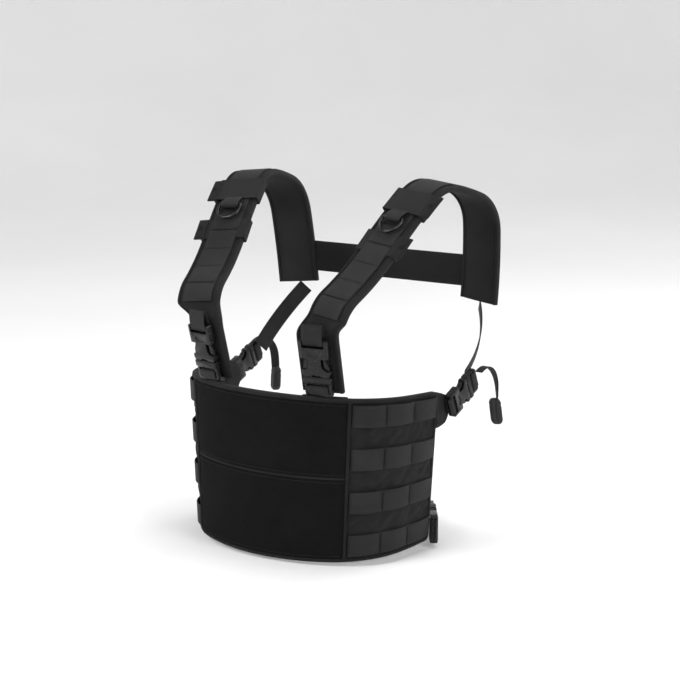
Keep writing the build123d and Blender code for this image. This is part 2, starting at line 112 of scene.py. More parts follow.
RING_S = 244
RING_LIFT = 6.4
RING_WIRE = 2
RING_HALF = 14.5
RING_DROP = 20
RING_CORNER = 3.5
RING_LOOP_HALF = 11.5

FRONT_BUCKLE_S = 35
FRONT_BUCKLE_D = 6.9
SIDE_BUCKLE_SCALE = 0.88
SIDE_BUCKLE_MOUTH = Vector((158.5, 36, 84))
SIDE_BUCKLE_RISE = 24
WAIST_HEADING = 125
WAIST_LEVEL = -76.2
WAIST_BAR = (148, -14)
WAIST_ARCS = [(66, 0), (45, 25)]
WAIST_STRAP_START = 62
WAIST_STRAP_D = (-6.7, -5.3)
SOCKET_LENGTH = 44

TAIL_X = 164.5
TAIL_WIDTH = 10.5
TAIL_WEB = 1.5
TAIL_ROUTE = [
    (54.7, 100.6), (62.5, 104), (74.5, 104), (86.5, 97.5), (94.5, 86), (98, 73), (98.5, 59),
]
PULL_TAB_LENGTH = 31


# ---- tracks and places ----


def place(track, s):
    """Point and heading, in radians, at length s along a track."""
    (x, y), heading, arcs = track
    heading = radians(heading)
    for length, turn in arcs:
        step = min(s, length)
        if turn == 0:
            x += step * cos(heading)
            y += step * sin(heading)
        else:
            radius = length / radians(turn)
            after = heading + step / radius
            x += radius * (sin(after) - sin(heading))
            y -= radius * (cos(after) - cos(heading))
            heading = after
        s -= step
        if s <= 0:
            break
    return x, y, heading


def beside(track, s, d):
    x, y, heading = place(track, s)
    return x + d * sin(heading), y - d * cos(heading)


def on_panel(s, z, d):
    """Point on the panel; its ends wrap a waist that narrows, so they lean in and draw together."""
    x, y = beside(PLAN, abs(s), d)
    x *= 1 + PANEL_LEAN * z
    level = z + (0.3 - PANEL_TAPER * z) * (s / 100) ** 2
    return Vector((x if s >= 0 else -x, y, level))


UPPER_PART = (STRAP_FOOT, STRAP_FORWARD, STRAP_UPWARD, STRAP_ACROSS)
LOWER_PART = (
    LOWER_FOOT,
    Vector((sin(LOWER_TURN), -cos(LOWER_TURN), 0)),
    UP,
    Vector((cos(LOWER_TURN), sin(LOWER_TURN), 0)),
)


def on_part(part, s, across, d):
    foot, forward, upward, sideways = part
    x, y = beside(STRAP, s, d)
    return foot + forward * x + upward * y + sideways * across


def on_strap(s, across, d):
    """Point on the left strap: its lower part hangs straight, then twists into the upper part."""
    share = min(1.0, max(0.0, (s - LOWER_END) / (UPPER_START - LOWER_END)))
    share *= share * (3 - 2 * share)
    lower = on_part(LOWER_PART, s, across * LOWER_HALF_WIDTH / PAD_HALF_WIDTH, d)
    return lower.lerp(on_part(UPPER_PART, s, across, d), share)


def on_waist(s, w, d):
    x, y = beside(WAIST_TRACK, s, d)
    return Vector((x, y, WAIST_LEVEL + w))


def waist_track():
    """The waist strap's track, closed by an arc at the middle of the back, and its length."""
    length = sum(arc for arc, turn in WAIST_ARCS)
    turned = WAIST_HEADING + sum(turn for arc, turn in WAIST_ARCS)
    x, y, heading = place((WAIST_BAR, WAIST_HEADING, WAIST_ARCS), length)
    radius = x / sin(heading)
    closing = (radius * (pi - heading), 180 - turned)
    return (WAIST_BAR, WAIST_HEADING, WAIST_ARCS + [closing]), length + closing[0]


WAIST_TRACK, WAIST_TOTAL = waist_track()


def mirrored(point, sign):
    """The point itself on the wearer's left (1), or its twin on the right (-1)."""
    return Vector((sign * point.x, point.y, point.z))


def on_side(surface, sign):
    """A surface of the wearer's left, on the side that sign gives."""

    def at(s, w, d):
        return mirrored(surface(s, w, d), sign)

    return at


def steps(start, end, pitch):
    """Evenly spaced numbers from start to end, both included, about a pitch apart."""
    count = max(1, ceil(abs(end - start) / pitch))
    return [start + (end - start) * i / count for i in range(count + 1)]


def circle(count):
    """Angles all the way round, evenly spaced."""
    return [2 * pi * i / count for i in range(count)]


def frame_matrix(origin, x_dir, z_dir):
    x_dir = x_dir.normalized()
    z_dir = z_dir.normalized()
    y_dir = z_dir.cross(x_dir)
    matrix = Matrix((x_dir, y_dir, z_dir)).transposed().to_4x4()
    matrix.translation = origin
    return matrix


def buckle_frame(mouth, towards_bar, outward):
    return frame_matrix(mouth, towards_bar.cross(outward), outward)


def strap_directions(part, s):
    """Along one part of the strap and off its face, at length s."""
    forward, upward = part[1:3]
    heading = place(STRAP, s)[2]
    along = forward * cos(heading) + upward * sin(heading)
    off = forward * sin(heading) - upward * cos(heading)
    return along, off


def front_frame():
    along, off = strap_directions(LOWER_PART, FRONT_BUCKLE_S)
    return buckle_frame(on_part(LOWER_PART, FRONT_BUCKLE_S, 0, FRONT_BUCKLE_D), along, off)


def side_frame():
    rise = radians(SIDE_BUCKLE_RISE)
    towards = Vector((0, -cos(rise), -sin(rise)))
    return buckle_frame(SIDE_BUCKLE_MOUTH, towards, Vector((1, 0, 0)))


def waist_frame():
    heading = radians(WAIST_HEADING)
    back = Vector((cos(heading), sin(heading), 0))
    mouth = Vector((*WAIST_BAR, WAIST_LEVEL)) + back * SOCKET_LENGTH
    return buckle_frame(mouth, -back, Vector((sin(heading), -cos(heading), 0)))


def ring_frame():
    along, off = strap_directions(UPPER_PART, RING_S)
    return frame_matrix(on_strap(RING_S, 0, RING_LIFT), STRAP_ACROSS, off)


# ---- materials ----


def add_node(tree, kind, values=None, **settings):
    made = tree.nodes.new(kind)
    for key, value in settings.items():
        setattr(made, key, value)
    for key, value in (values or {}).items():
        made.inputs[key].default_value = value
    return made


def link(tree, source, target):
    tree.links.new(source, target)


def start_material(name, values):
    """A material with its node tree and its shader, which is given its constants."""
    material = bpy.data.materials.new(name)
    material.use_nodes = True
    tree = material.node_tree
    shader = tree.nodes["Principled BSDF"]
    for key, value in values.items():
        shader.inputs[key].default_value = value
    return material, tree, shader


def cloth_coordinates(tree, pitch_along, pitch_across):
    """The piece's own map, scaled so that one unit is one yarn each way."""
    source = add_node(tree, "ShaderNodeUVMap", uv_map="cloth")
    scaled = add_node(tree, "ShaderNodeMapping", {"Scale": (1 / pitch_along, 1 / pitch_across, 1)})
    link(tree, source.outputs["UV"], scaled.inputs["Vector"])
    return scaled.outputs["Vector"]


def piece_coordinates(tree):
    return add_node(tree, "ShaderNodeTexCoord").outputs["Object"]


def noise_texture(tree, coordinates, scale, detail=3.0, roughness=0.55):
    made = add_node(
        tree, "ShaderNodeTexNoise", {"Scale": scale, "Detail": detail, "Roughness": roughness}
    )
    link(tree, coordinates, made.inputs["Vector"])
    return made.outputs["Fac"]


def arithmetic(tree, operation, first, second):
    made = add_node(tree, "ShaderNodeMath", operation=operation)
    for socket, value in zip(made.inputs, (first, second)):
        if isinstance(value, (int, float)):
            socket.default_value = value
        else:
            link(tree, value, socket)
    return made.outputs[0]


def ramp(tree, factor, low, high, start=0.3, end=0.7):
    """A colour that runs from low to high as the factor goes from start to end."""
    made = add_node(tree, "ShaderNodeValToRGB")
    first, last = made.color_ramp.elements
    first.position, last.position = start, end
    first.color, last.color = (*low, 1), (*high, 1)
    link(tree, factor, made.inputs["Fac"])
    return made.outputs["Color"]


def spread(tree, factor, low, high):
    made = add_node(tree, "ShaderNodeMapRange", {"To Min": low, "To Max": high})
    link(tree, factor, made.inputs["Value"])
    return made.outputs["Result"]


def blend_colours(tree, factor, first, second):
    """The first colour, a socket, turned into the second, a constant, as the factor grows."""
    made = add_node(tree, "ShaderNodeMix", {"B": (*second, 1)}, data_type="RGBA")
    link(tree, factor, made.inputs["Factor"])
    link(tree, first, made.inputs["A"])
    return made.outputs["Result"]


def multiply_colours(tree, share, first, second):
    made = add_node(
        tree, "ShaderNodeMix", {"Factor": share}, data_type="RGBA", blend_type="MULTIPLY"
    )
    link(tree, first, made.inputs["A"])
    link(tree, second, made.inputs["B"])
    return made.outputs["Result"]


def add_bump(tree, shader, height, distance):
    made = add_node(tree, "ShaderNodeBump", {"Distance": distance})
    link(tree, height, made.inputs["Height"])
    link(tree, made.outputs["Normal"], shader.inputs["Normal"])


def wear(tree):
    """How worn the surface is, from 0 to 1, as painted on the mesh along its edges."""
    return add_node(tree, "ShaderNodeAttribute", attribute_name="wear").outputs["Fac"]


def yarn_height(tree, coordinates):
    """Plain weave: over and under by turns, one yarn to each unit of the coordinates."""
    across = add_node(tree, "ShaderNodeTexWave", {"Scale": 0.5}, bands_direction="X")
    along = add_node(tree, "ShaderNodeTexWave", {"Scale": 0.5}, bands_direction="Y")
    turns = add_node(tree, "ShaderNodeTexChecker", {"Scale": 1.0})
    for made in (across, along, turns):
        link(tree, coordinates, made.inputs["Vector"])
    choice = add_node(tree, "ShaderNodeMix", data_type="FLOAT")
    link(tree, turns.outputs["Fac"], choice.inputs["Factor"])
    link(tree, across.outputs["Fac"], choice.inputs["A"])
    link(tree, along.outputs["Fac"], choice.inputs["B"])
    return choice.outputs["Result"]


def rib_height(tree, coordinates):
    """Webbing: narrow ribs along its length, crossed by fine weft."""
    ribs = add_node(tree, "ShaderNodeTexWave", {"Scale": 0.5}, bands_direction="Y")
    weft = add_node(
        tree, "ShaderNodeTexWave", {"Scale": 0.8, "Distortion": 0.4}, bands_direction="X"
    )
    for made in (ribs, weft):
        link(tree, coordinates, made.inputs["Vector"])
    return arithmetic(
        tree, "ADD", ribs.outputs["Fac"], arithmetic(tree, "MULTIPLY", weft.outputs["Fac"], 0.45)
    )


def cloth_material(name, dark, light, height, pitch, bump, rough=(0.62, 0.85), sheen=0.02):
    """Woven nylon: height is the function that makes the weave, pitch its yarns in millimetres."""
    constants = {"Sheen Weight": sheen, "Sheen Roughness": 0.45, "Specular IOR Level": 0.2}
    material, tree, shader = start_material(name, constants)
    cloth = cloth_coordinates(tree, *pitch)
    weave = height(tree, cloth)
    place_on_piece = piece_coordinates(tree)
    patches = noise_texture(tree, place_on_piece, 18.0)
    fibres = noise_texture(tree, place_on_piece, 900.0, 2.0)
    base = ramp(tree, patches, dark, light)
    yarns = ramp(tree, weave, (0.55, 0.55, 0.55), (1.15, 1.15, 1.15), 0.0, 1.0)
    shaded = multiply_colours(tree, 0.8, base, yarns)
    rubbed = arithmetic(tree, "MULTIPLY", wear(tree), spread(tree, fibres, 0.2, 1.0))
    colour = blend_colours(tree, rubbed, shaded, RUBBED)
    link(tree, colour, shader.inputs["Base Color"])
    link(tree, spread(tree, fibres, *rough), shader.inputs["Roughness"])
    raised = arithmetic(tree, "ADD", weave, arithmetic(tree, "MULTIPLY", fibres, 0.5))
    add_bump(tree, shader, raised, bump)
    return material


def loop_material():
    """Hook-and-loop field: a dense nap of fine loops, pressed this way and that."""
    constants = {"Sheen Weight": 0.005, "Specular IOR Level": 0.08}
    material, tree, shader = start_material("loop_pile", constants)
    cloth = cloth_coordinates(tree, 1.1, 1.1)
    tufts = add_node(tree, "ShaderNodeTexVoronoi", {"Scale": 1.0, "Randomness": 0.9})
    link(tree, cloth, tufts.inputs["Vector"])
    place_on_piece = piece_coordinates(tree)
    pressed = noise_texture(tree, place_on_piece, 22.0, 4.0)
    fuzz = noise_texture(tree, place_on_piece, 1400.0, 2.0)
    base = ramp(tree, pressed, (0.003, 0.003, 0.0033), (0.006, 0.006, 0.0064))
    colour = blend_colours(tree, spread(tree, fuzz, 0.0, 0.35), base, (0.013, 0.013, 0.0138))
    link(tree, colour, shader.inputs["Base Color"])
    link(tree, spread(tree, pressed, 0.86, 1.0), shader.inputs["Roughness"])
    height = arithmetic(tree, "ADD", tufts.outputs["Distance"], fuzz)
    add_bump(tree, shader, height, 0.0006)
    return material


def lining_material():
    """Spacer mesh: small round holes in rows, darkened inside with painted shade."""
    material, tree, shader = start_material("lining_mesh", {"Sheen Weight": 0.02})
    cloth = cloth_coordinates(tree, 2.6, 2.2)
    cells = add_node(tree, "ShaderNodeTexVoronoi", {"Scale": 1.0, "Randomness": 0.12})
    link(tree, cloth, cells.inputs["Vector"])
    patches = noise_texture(tree, piece_coordinates(tree), 20.0)
    ground = ramp(tree, patches, (0.012, 0.012, 0.013), (0.022, 0.022, 0.023))
    # painted shade: each hole's colour is darkened to stand in for the shade inside it
    painted_hole_shade = ramp(tree, cells.outputs["Distance"], (0.15, 0.15, 0.15), (1, 1, 1), 0.2, 0.36)
    link(tree, multiply_colours(tree, 1.0, ground, painted_hole_shade), shader.inputs["Base Color"])
    link(tree, spread(tree, patches, 0.7, 0.9), shader.inputs["Roughness"])
    add_bump(tree, shader, cells.outputs["Distance"], 0.0008)
    return material


def plastic_material(name, dark, light, rough, grain, bump):
    """Moulded acetal or rubber: fine grain, a little scuffing on the edges."""
    material, tree, shader = start_material(name, {"Specular IOR Level": 0.27})
    place_on_piece = piece_coordinates(tree)
    scuffs = noise_texture(tree, place_on_piece, 160.0, 5.0, 0.7)
    texture = noise_texture(tree, place_on_piece, grain, 2.0)
    base = ramp(tree, scuffs, dark, light, 0.35, 0.75)
    rubbed = arithmetic(tree, "MULTIPLY", wear(tree), scuffs)
    colour = blend_colours(tree, rubbed, base, (0.03, 0.03, 0.0315))
    link(tree, colour, shader.inputs["Base Color"])
    link(tree, spread(tree, scuffs, *rough), shader.inputs["Roughness"])
    add_bump(tree, shader, texture, bump)
    return material


def metal_material():
    """Black oxide on steel, rubbed brighter where webbing and gear slide on it."""
    material, tree, shader = start_material("ring_steel", {"Metallic": 1.0})
    place_on_piece = piece_coordinates(tree)
    rubbed = noise_texture(tree, place_on_piece, 240.0, 5.0, 0.65)
    colour = ramp(tree, rubbed, (0.02, 0.02, 0.0215), (0.09, 0.09, 0.094), 0.4, 0.75)
    link(tree, colour, shader.inputs["Base Color"])
    link(tree, spread(tree, rubbed, 0.22, 0.42), shader.inputs["Roughness"])
    add_bump(tree, shader, rubbed, 0.00008)
    return material


BLACK = (0.009, 0.009, 0.0096)
SOFT_BLACK = (0.022, 0.0222, 0.0228)
RUBBED = (0.036, 0.036, 0.038)

MATERIALS = {
    "shell_fabric": cloth_material(
        "shell_cordura", BLACK, SOFT_BLACK, yarn_height, (1.0, 1.0), 0.00035
    ),
    "pad_fabric": cloth_material(
        "pad_cordura", BLACK, SOFT_BLACK, yarn_height, (0.9, 0.9), 0.0003
    ),
    "webbing": cloth_material(
        "nylon_webbing", (0.012, 0.012, 0.0125), (0.025, 0.0255, 0.025), rib_height, (1.1, 1.6),
        0.0004, (0.5, 0.72), 0.03
    ),
    "binding_tape": cloth_material(
        "binding_tape", BLACK, (0.018, 0.018, 0.0185), rib_height, (0.8, 0.9), 0.00025
    ),
    "elastic": cloth_material(
        "elastic_band", (0.008, 0.008, 0.008), (0.015, 0.015, 0.015), rib_height, (1.6, 0.7), 0.0003
    ),
    "thread": cloth_material(
        "bonded_thread", (0.008, 0.008, 0.0085), (0.016, 0.016, 0.0165), yarn_height, (0.4, 0.4),
        0.0001, (0.5, 0.7)
    ),
    "loop_fabric": loop_material(),
    "lining_mesh": lining_material(),
    "buckle_plastic": plastic_material(
        "moulded_acetal", (0.0045, 0.0045, 0.0048), (0.009, 0.009, 0.0094), (0.2, 0.34), 2600.0,
        0.00004
    ),
    "grip_rubber": plastic_material(
        "grip_rubber", (0.014, 0.014, 0.0145), (0.026, 0.026, 0.026), (0.45, 0.65), 1500.0, 0.0001
    ),
    "ring_metal": metal_material(),
}


# ---- mesh makers ----


def mark_wear(mesh, values):
    mesh.attributes.new("wear", "FLOAT", "POINT").data.foreach_set("value", values)


def finish_mesh(name, mesh, look, sharp):
    """Normals outward, smooth shading with sharp edges kept, material on."""
    shape = bmesh.new()
    shape.from_mesh(mesh)
    bmesh.ops.recalc_face_normals(shape, faces=shape.faces)
    for face in shape.faces:
        face.smooth = True
    shape.to_mesh(mesh)
    shape.free()
    mesh.set_sharp_from_angle(angle=radians(sharp))
    mesh.materials.append(MATERIALS[look])
    piece = bpy.data.objects.new(name, mesh)
    bpy.context.scene.collection.objects.link(piece)
    return piece


def settle(piece, body, slot, *nodes):
    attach(piece, body)
    if nodes:
        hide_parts(*nodes)
    return piece


THREAD_RADIUS = 0.32
STITCH_GAP = 1.2
WEB_EDGE = 0.8  # how far in the webbing's rounded edges reach


class Skin:
    """Points in millimetres, faces, map corners and wear of one piece, gathered from its shells."""

    def __init__(self):
        self.points = []
        self.faces = []
        self.maps = []
        self.worn = []

    def piece(self, name, look, body, *nodes, slot=None, sharp=50):
        """The finished piece on its body, with its look's material."""
        mesh = bpy.data.meshes.new(name)
        mesh.from_pydata([point * MM for point in self.points], [], self.faces)
        layer = mesh.uv_layers.new(name="cloth")
        corners = [corner for labels in self.maps for corner in labels]
        for item, corner in zip(layer.data, corners):
            item.uv = corner
        mark_wear(mesh, self.worn)
        return settle(finish_mesh(name, mesh, look, sharp), body, slot or look, *nodes)

    def slab(self, at, lengths, widths, front, back, rub=0.0):
        """Closed sheet over a grid; front and back give the depth of its two faces."""
        start = len(self.points)
        columns = len(widths)
        count = columns * len(lengths)
        for face in (front, back):
            for s in lengths:
                self.points += [at(s, w, face(s, w)) for w in widths]
        edge_rows = (0, len(lengths) - 1)
        edge_columns = (0, columns - 1)
        for i in range(len(lengths)):
            for k in range(columns):
                on_edge = i in edge_rows or k in edge_columns
                self.worn.append(rub if on_edge else 0.0)
        self.worn += self.worn[start:]

        def add(corners, labels):
            self.faces.append([start + c for c in corners])
            self.maps.append(labels)

        for i in range(len(lengths) - 1):
            for k in range(columns - 1):
                a = i * columns + k
                ring = [a, a + 1, a + columns + 1, a + columns]
                labels = [
                    (lengths[i], widths[k]),
                    (lengths[i], widths[k + 1]),
                    (lengths[i + 1], widths[k + 1]),
                    (lengths[i + 1], widths[k]),
                ]
                add(ring, labels)
                add([count + c for c in reversed(ring)], labels[::-1])
        for k in range(columns - 1):
            for row in edge_rows:
                a = row * columns + k
                w0, w1 = widths[k], widths[k + 1]
                s = lengths[row]
                add(
                    [a, a + 1, count + a + 1, count + a],
                    [(s, w0), (s, w1), (s - 1, w1), (s - 1, w0)],
                )
        for i in range(len(lengths) - 1):
            for column in edge_columns:
                a = i * columns + column
                s0, s1 = lengths[i], lengths[i + 1]
                w = widths[column]
                add(
                    [a, a + columns, count + a + columns, count + a],
                    [(s0, w), (s1, w), (s1, w - 1), (s0, w - 1)],
                )
        return self

    def loft(self, rings, closed=False, rub=None):
        """Skin through rings of points, all of one length, capped unless it closes on itself."""
        start = len(self.points)
        size = len(rings[0])
        count = len(rings)
        along = [0.0]
        middles = [sum(ring, Vector()) / size for ring in rings]
        for i in range(count):
            along.append(along[-1] + (middles[(i + 1) % count] - middles[i]).length)
        around = [0.0]
        for k in range(size):
            around.append(around[-1] + (rings[0][(k + 1) % size] - rings[0][k]).length)
        for ring in rings:
            self.points += ring
            self.worn += rub or [0.0] * size
        for i in range(count if closed else count - 1):
            j = (i + 1) % count
            for k in range(size):
                m = (k + 1) % size
                self.faces.append([start + i * size + k, start + i * size + m,
                                   start + j * size + m, start + j * size + k])
                self.maps.append([(along[i], around[k]), (along[i], around[k + 1]),
                                  (along[i + 1], around[k + 1]), (along[i + 1], around[k])])
        if not closed:
            for i in (0, count - 1):
                self.faces.append([start + i * size + k for k in range(size)])
                self.maps.append([(along[i], around[k]) for k in range(size)])
        return self

    def thread(self, runs, normal, radius=THREAD_RADIUS):
        """Sewing thread: one thin tube along each run of points."""
        for run in runs:
            rings = []
            for i, point in enumerate(run):
                ahead = run[min(i + 1, len(run) - 1)] - run[max(i - 1, 0)]
                across = ahead.cross(normal).normalized()
                off = across.cross(ahead).normalized()
                rings.append(
                    [point + (across * cos(a) + off * sin(a)) * radius for a in circle(6)]
                )
            self.loft(rings)
        return self


def flat_ring(half, low, high):
    """Section of webbing, from (-half, low) to (half, high), with rounded edges."""
    middle = (low + high) / 2
    flat = half - min(WEB_EDGE, half / 4)
    inner = steps(-flat, flat, 2 * flat / 5)
    top = [(w, high) for w in inner]
    bottom = [(w, low) for w in reversed(inner)]
    return [(-half, middle), *top, (half, middle), *bottom]


def edge_rub(ring, amount=0.35):
    """More wear on the two outermost points of a webbing section."""
    reach = max(abs(w) for w, d in ring)
    return [amount * max(0.0, abs(w) / reach - 0.85) / 0.15 for w, d in ring]


def ribbon(skin, at, lengths, half, depths, centre=0.0):
    """Webbing along a surface; depths(s) gives its two faces, centre its middle line."""
    rings = []
    for s in lengths:
        low, high = depths(s)
        ring = flat_ring(half, low, high)
        rings.append([at(s, centre + w, d) for w, d in ring])
    return skin.loft(rings, rub=edge_rub(ring))


def seam(at, start, end, w, d, pitch=4.0):
    """Runs of straight stitches along a surface from start to end, at width w and depth d."""
    runs = []
    stations = steps(start, end, pitch)
    for a, b in zip(stations, stations[1:]):
        a += STITCH_GAP / 2
        b -= STITCH_GAP / 2
        heights = ((a, d - 0.3), (a + 0.35, d + 0.15), (b - 0.35, d + 0.15), (b, d - 0.3))
        runs.append([at(s, w, height) for s, height in heights])
    return runs


def bartack(at, s, w0, w1, d, width=1.5, pitch=0.85):
    """A dense zigzag of thread across webbing, at length s."""
    run = []
    for i, w in enumerate(steps(w0, w1, pitch)):
        run.append(at(s + (width if i % 2 else -width), w, d))
    return [run]


def rectangle(half, v0, v1, corner=0.0):
    """Outline of a rectangle from (-half, v0) to (half, v1), its corners rounded or square."""
    if not corner:
        return [(-half, v0), (half, v0), (half, v1), (-half, v1)]
    outline = []
    for cu, cv, turn in ((half, v1, 0), (-half, v1, 1), (-half, v0, 2), (half, v0, 3)):
        centre_u = cu - corner if cu == half else cu + corner
        centre_v = cv - corner if cv == v1 else cv + corner
        for a in steps(turn * pi / 2, (turn + 1) * pi / 2, pi / 8):
            outline.append((centre_u + corner * cos(a), centre_v + corner * sin(a)))
    return outline


def rim(value, reach, width):
    """0 on the rim of a piece that reaches that far from its middle, 1 a width inside it."""
    return min(1.0, max(0.0, (reach - abs(value)) / width))


def wobble(x, y, size, seed=0.0):
    """Smooth unevenness from about -1 to 1, over a length of size."""
    return noise.noise(Vector((x / size, y / size, seed)))


# ---- camera, floor and lights ----


CAMERA_PLACE = Vector((1175.8, -1679.3, 519.9)) * MM
CAMERA_AZIMUTH = 35
CAMERA_DOWN = 10.8
LENS = 93.0
SHIFT = 0.0059
FLOOR = -0.0985
FLOOR_PROFILE = [  # radius and height of the floor's rings, in metres
    (0.001, 0), (1.2, 0), (2.4, 0), (3.2, 0.06), (3.9, 0.35), (4.4, 1.0), (4.6, 2.0), (4.7, 3.4),
]
LIGHTS = {  # where each stands, how wide it is and its power
    "key": ((-0.9, -2.0, 1.9), 1.2, 40),
    "side": ((2.4, -0.6, 1.3), 1.0, 22),
    "top": ((0.2, 0.3, 2.4), 1.4, 19),
    "behind": ((0.6, 2.2, 1.6), 1.4, 16),
}
LIGHT_TARGET = Vector((0, 0, 0.08))
WORLD_STRENGTH = 0.6


def make_camera():
    data = bpy.data.cameras.new("camera")
    data.lens = LENS
    data.sensor_width = 36
    data.shift_x = SHIFT
    data.clip_end = 20
    camera = bpy.data.objects.new("camera", data)
    bpy.context.scene.collection.objects.link(camera)
    camera.location = CAMERA_PLACE
    camera.rotation_euler = (radians(90 - CAMERA_DOWN), 0, radians(CAMERA_AZIMUTH))
    bpy.context.scene.camera = camera


def make_floor():
    """A wide pale floor that curves up into a backdrop on every side."""
    rings = []
    for radius, height in FLOOR_PROFILE:
        rings.append([(radius * cos(a), radius * sin(a), FLOOR + height) for a in circle(48)])
    size = len(rings[0])
    faces = []
    for i in range(len(rings) - 1):
        for k in range(size):
            m = (k + 1) % size
            faces.append((i * size + k, i * size + m, (i + 1) * size + m, (i + 1) * size + k))
    mesh = bpy.data.meshes.new("floor")
    mesh.from_pydata([p for ring in rings for p in ring], [], faces)
    for face in mesh.polygons:
        face.use_smooth = True
    floor = bpy.data.objects.new("floor", mesh)
    bpy.context.scene.collection.objects.link(floor)
    material, tree, shader = start_material("studio_floor", {"Roughness": 0.9})
    patches = noise_texture(tree, piece_coordinates(tree), 1.5)
    colour = ramp(tree, patches, (0.86, 0.86, 0.86), (0.9, 0.9, 0.9))
    link(tree, colour, shader.inputs["Base Color"])
    mesh.materials.append(material)
    floor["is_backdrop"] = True


def area_light(name, place_at, size, power):
    data = bpy.data.lights.new(name, "AREA")
    data.shape = "DISK"
    data.size = size
    data.energy = power
    light = bpy.data.objects.new(name, data)
    bpy.context.scene.collection.objects.link(light)
    light.location = place_at
    aim = LIGHT_TARGET - Vector(place_at)
    light.rotation_euler = aim.to_track_quat("-Z", "Y").to_euler()


def make_light():
    world = bpy.data.worlds.new("studio")
    bpy.context.scene.world = world
    world.use_nodes = True
    background = world.node_tree.nodes["Background"]
    background.inputs["Color"].default_value = (1, 1, 1, 1)
    background.inputs["Strength"].default_value = WORLD_STRENGTH
    for name, (place_at, size, power) in LIGHTS.items():
        area_light(name, place_at, size, power)
    bpy.context.scene.view_settings.view_transform = "Standard"


make_camera()


# ---- free tails of the side straps ----


def spline_points(route):
    """Points along the smooth NURBS line that a route controls, in metres."""
    data = bpy.data.curves.new("route", "CURVE")
    data.dimensions = "3D"
    data.resolution_u = 12
    line = data.splines.new("NURBS")
    line.points.add(len(route) - 1)
    for point, place_at in zip(line.points, route):
        point.co = (*place_at, 1)
    line.order_u = 3
    line.use_endpoint_u = True
    holder = bpy.data.objects.new("route", data)
    mesh = bpy.data.meshes.new_from_object(holder)
    points = [v.co.copy() for v in mesh.vertices]
    bpy.data.objects.remove(holder)
    bpy.data.curves.remove(data)
    bpy.data.meshes.remove(mesh)
    return points


def path_length(points):
    return sum((b - a).length for a, b in zip(points, points[1:]))


TAIL_TURN = 55  # how far the hanging end has twisted towards the front
TAIL_STRAIGHT = 0.25  # the share of the tail, from its root, that isn't twisted
GRIP_ASIDE = 3.2  # the tail goes into the grip's top near its outer corner
GRIP_LEAN = 4.0
GRIP_OVERLAP = 2.0
GRIP_HALF = (3.6, 7.2)  # half its width, at its ends and along its middle
GRIP_DEEP = (3.2, 5.8)
GRIP_GROOVE = 1.6


def tail_across(share):
    """Which way the tail's width points, from its root (0) to its end (1)."""
    turn = radians(TAIL_TURN) * max(0.0, share - TAIL_STRAIGHT) / (1 - TAIL_STRAIGHT)
    return Vector((cos(turn), -sin(turn), 0))


def side_tail(side, sign):
    route = [Vector((sign * TAIL_X, y, z)) * MM for y, z in TAIL_ROUTE]
    points = spline_points(route)
    total = path_length(points)
    ring = flat_ring(TAIL_WIDTH / 2, -TAIL_WEB / 2, TAIL_WEB / 2)
    rings = []
    gone = 0.0
    for i, point in enumerate(points):
        ahead = points[min(i + 1, len(points) - 1)] - points[max(i - 1, 0)]
        across = tail_across(gone / total)
        across.x *= sign
        off = ahead.cross(across).normalized()
        across = off.cross(ahead).normalized()
        rings.append([point / MM + across * w + off * d for w, d in ring])
        if i + 1 < len(points):
            gone += (points[i + 1] - point).length
    skin = Skin().loft(rings, rub=edge_rub(ring, 0.8))
    tail = skin.piece(f"tail_{side}", "webbing", f"side_plug_{side}", f"side_tail_{side}")
    grip = pull_grip(side, sign, points[-1] / MM)
    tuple(points[0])


def pull_grip(side, sign, top):
    """Moulded grip on the tail's end: two long lobes with a groove between, and a waist."""
    across = tail_across(1.0)
    across.x *= sign
    off = UP.cross(across)
    rings = []
    for t in steps(0, 1, 0.045):
        centre = Vector((top.x, top.y, top.z + GRIP_OVERLAP - t * PULL_TAB_LENGTH))
        centre += off * sign * (GRIP_LEAN * t - GRIP_ASIDE)
        grown = rim(t - 0.5, 0.5, 0.16) ** 0.5
        waist = 0.9 if 0.22 < t < 0.3 else 1.0
        half = (GRIP_HALF[0] + (GRIP_HALF[1] - GRIP_HALF[0]) * grown) * waist
        deep = (GRIP_DEEP[0] + (GRIP_DEEP[1] - GRIP_DEEP[0]) * grown) * waist
        ring = []
        for a in circle(36):
            w = copysign(half * abs(cos(a)) ** 0.6, cos(a))
            d = deep * abs(sin(a)) ** 0.6
            if abs(sin(a)) > 0.5:  # the two broad faces
                d -= GRIP_GROOVE * grown * max(0.0, 1 - (w / GRIP_GROOVE) ** 2)
            ring.append(centre + off * w + across * copysign(d, sin(a)))
        rings.append(ring)
    grip = Skin().loft(rings)
    return grip.piece(
        f"pull_grip_{side}", "grip_rubber", f"side_plug_{side}", f"pull_tab_{side}", sharp=60
    )


for side, sign in SIDES.items():
    side_tail(side, sign)
make_floor()
make_light()


# ---- the front panel ----


UNDER_BINDING = 2
PANEL_PITCH = 2.6
BINDING_PITCH = 4
BINDING_STITCH_INSET = 3.7
BINDING_STITCH = [(0.15, 0.5), (0.25, 0.95), (0.75, 0.95), (0.85, 0.5)]  # share of the pitch, depth
FIELD_STITCH_INSET = 3.4


def between_rows(s, z):
    """1 halfway between two rows of the wing's webbing, 0 under a row and on the middle field."""
    down = ((GRID_TOP - z) / WEBBING) % 2.0
    if down < 1 or abs(s) < GRID_START:
        return 0.0
    return sin(pi * (down - 1)) * min(1.0, (abs(s) - GRID_START) / 12)


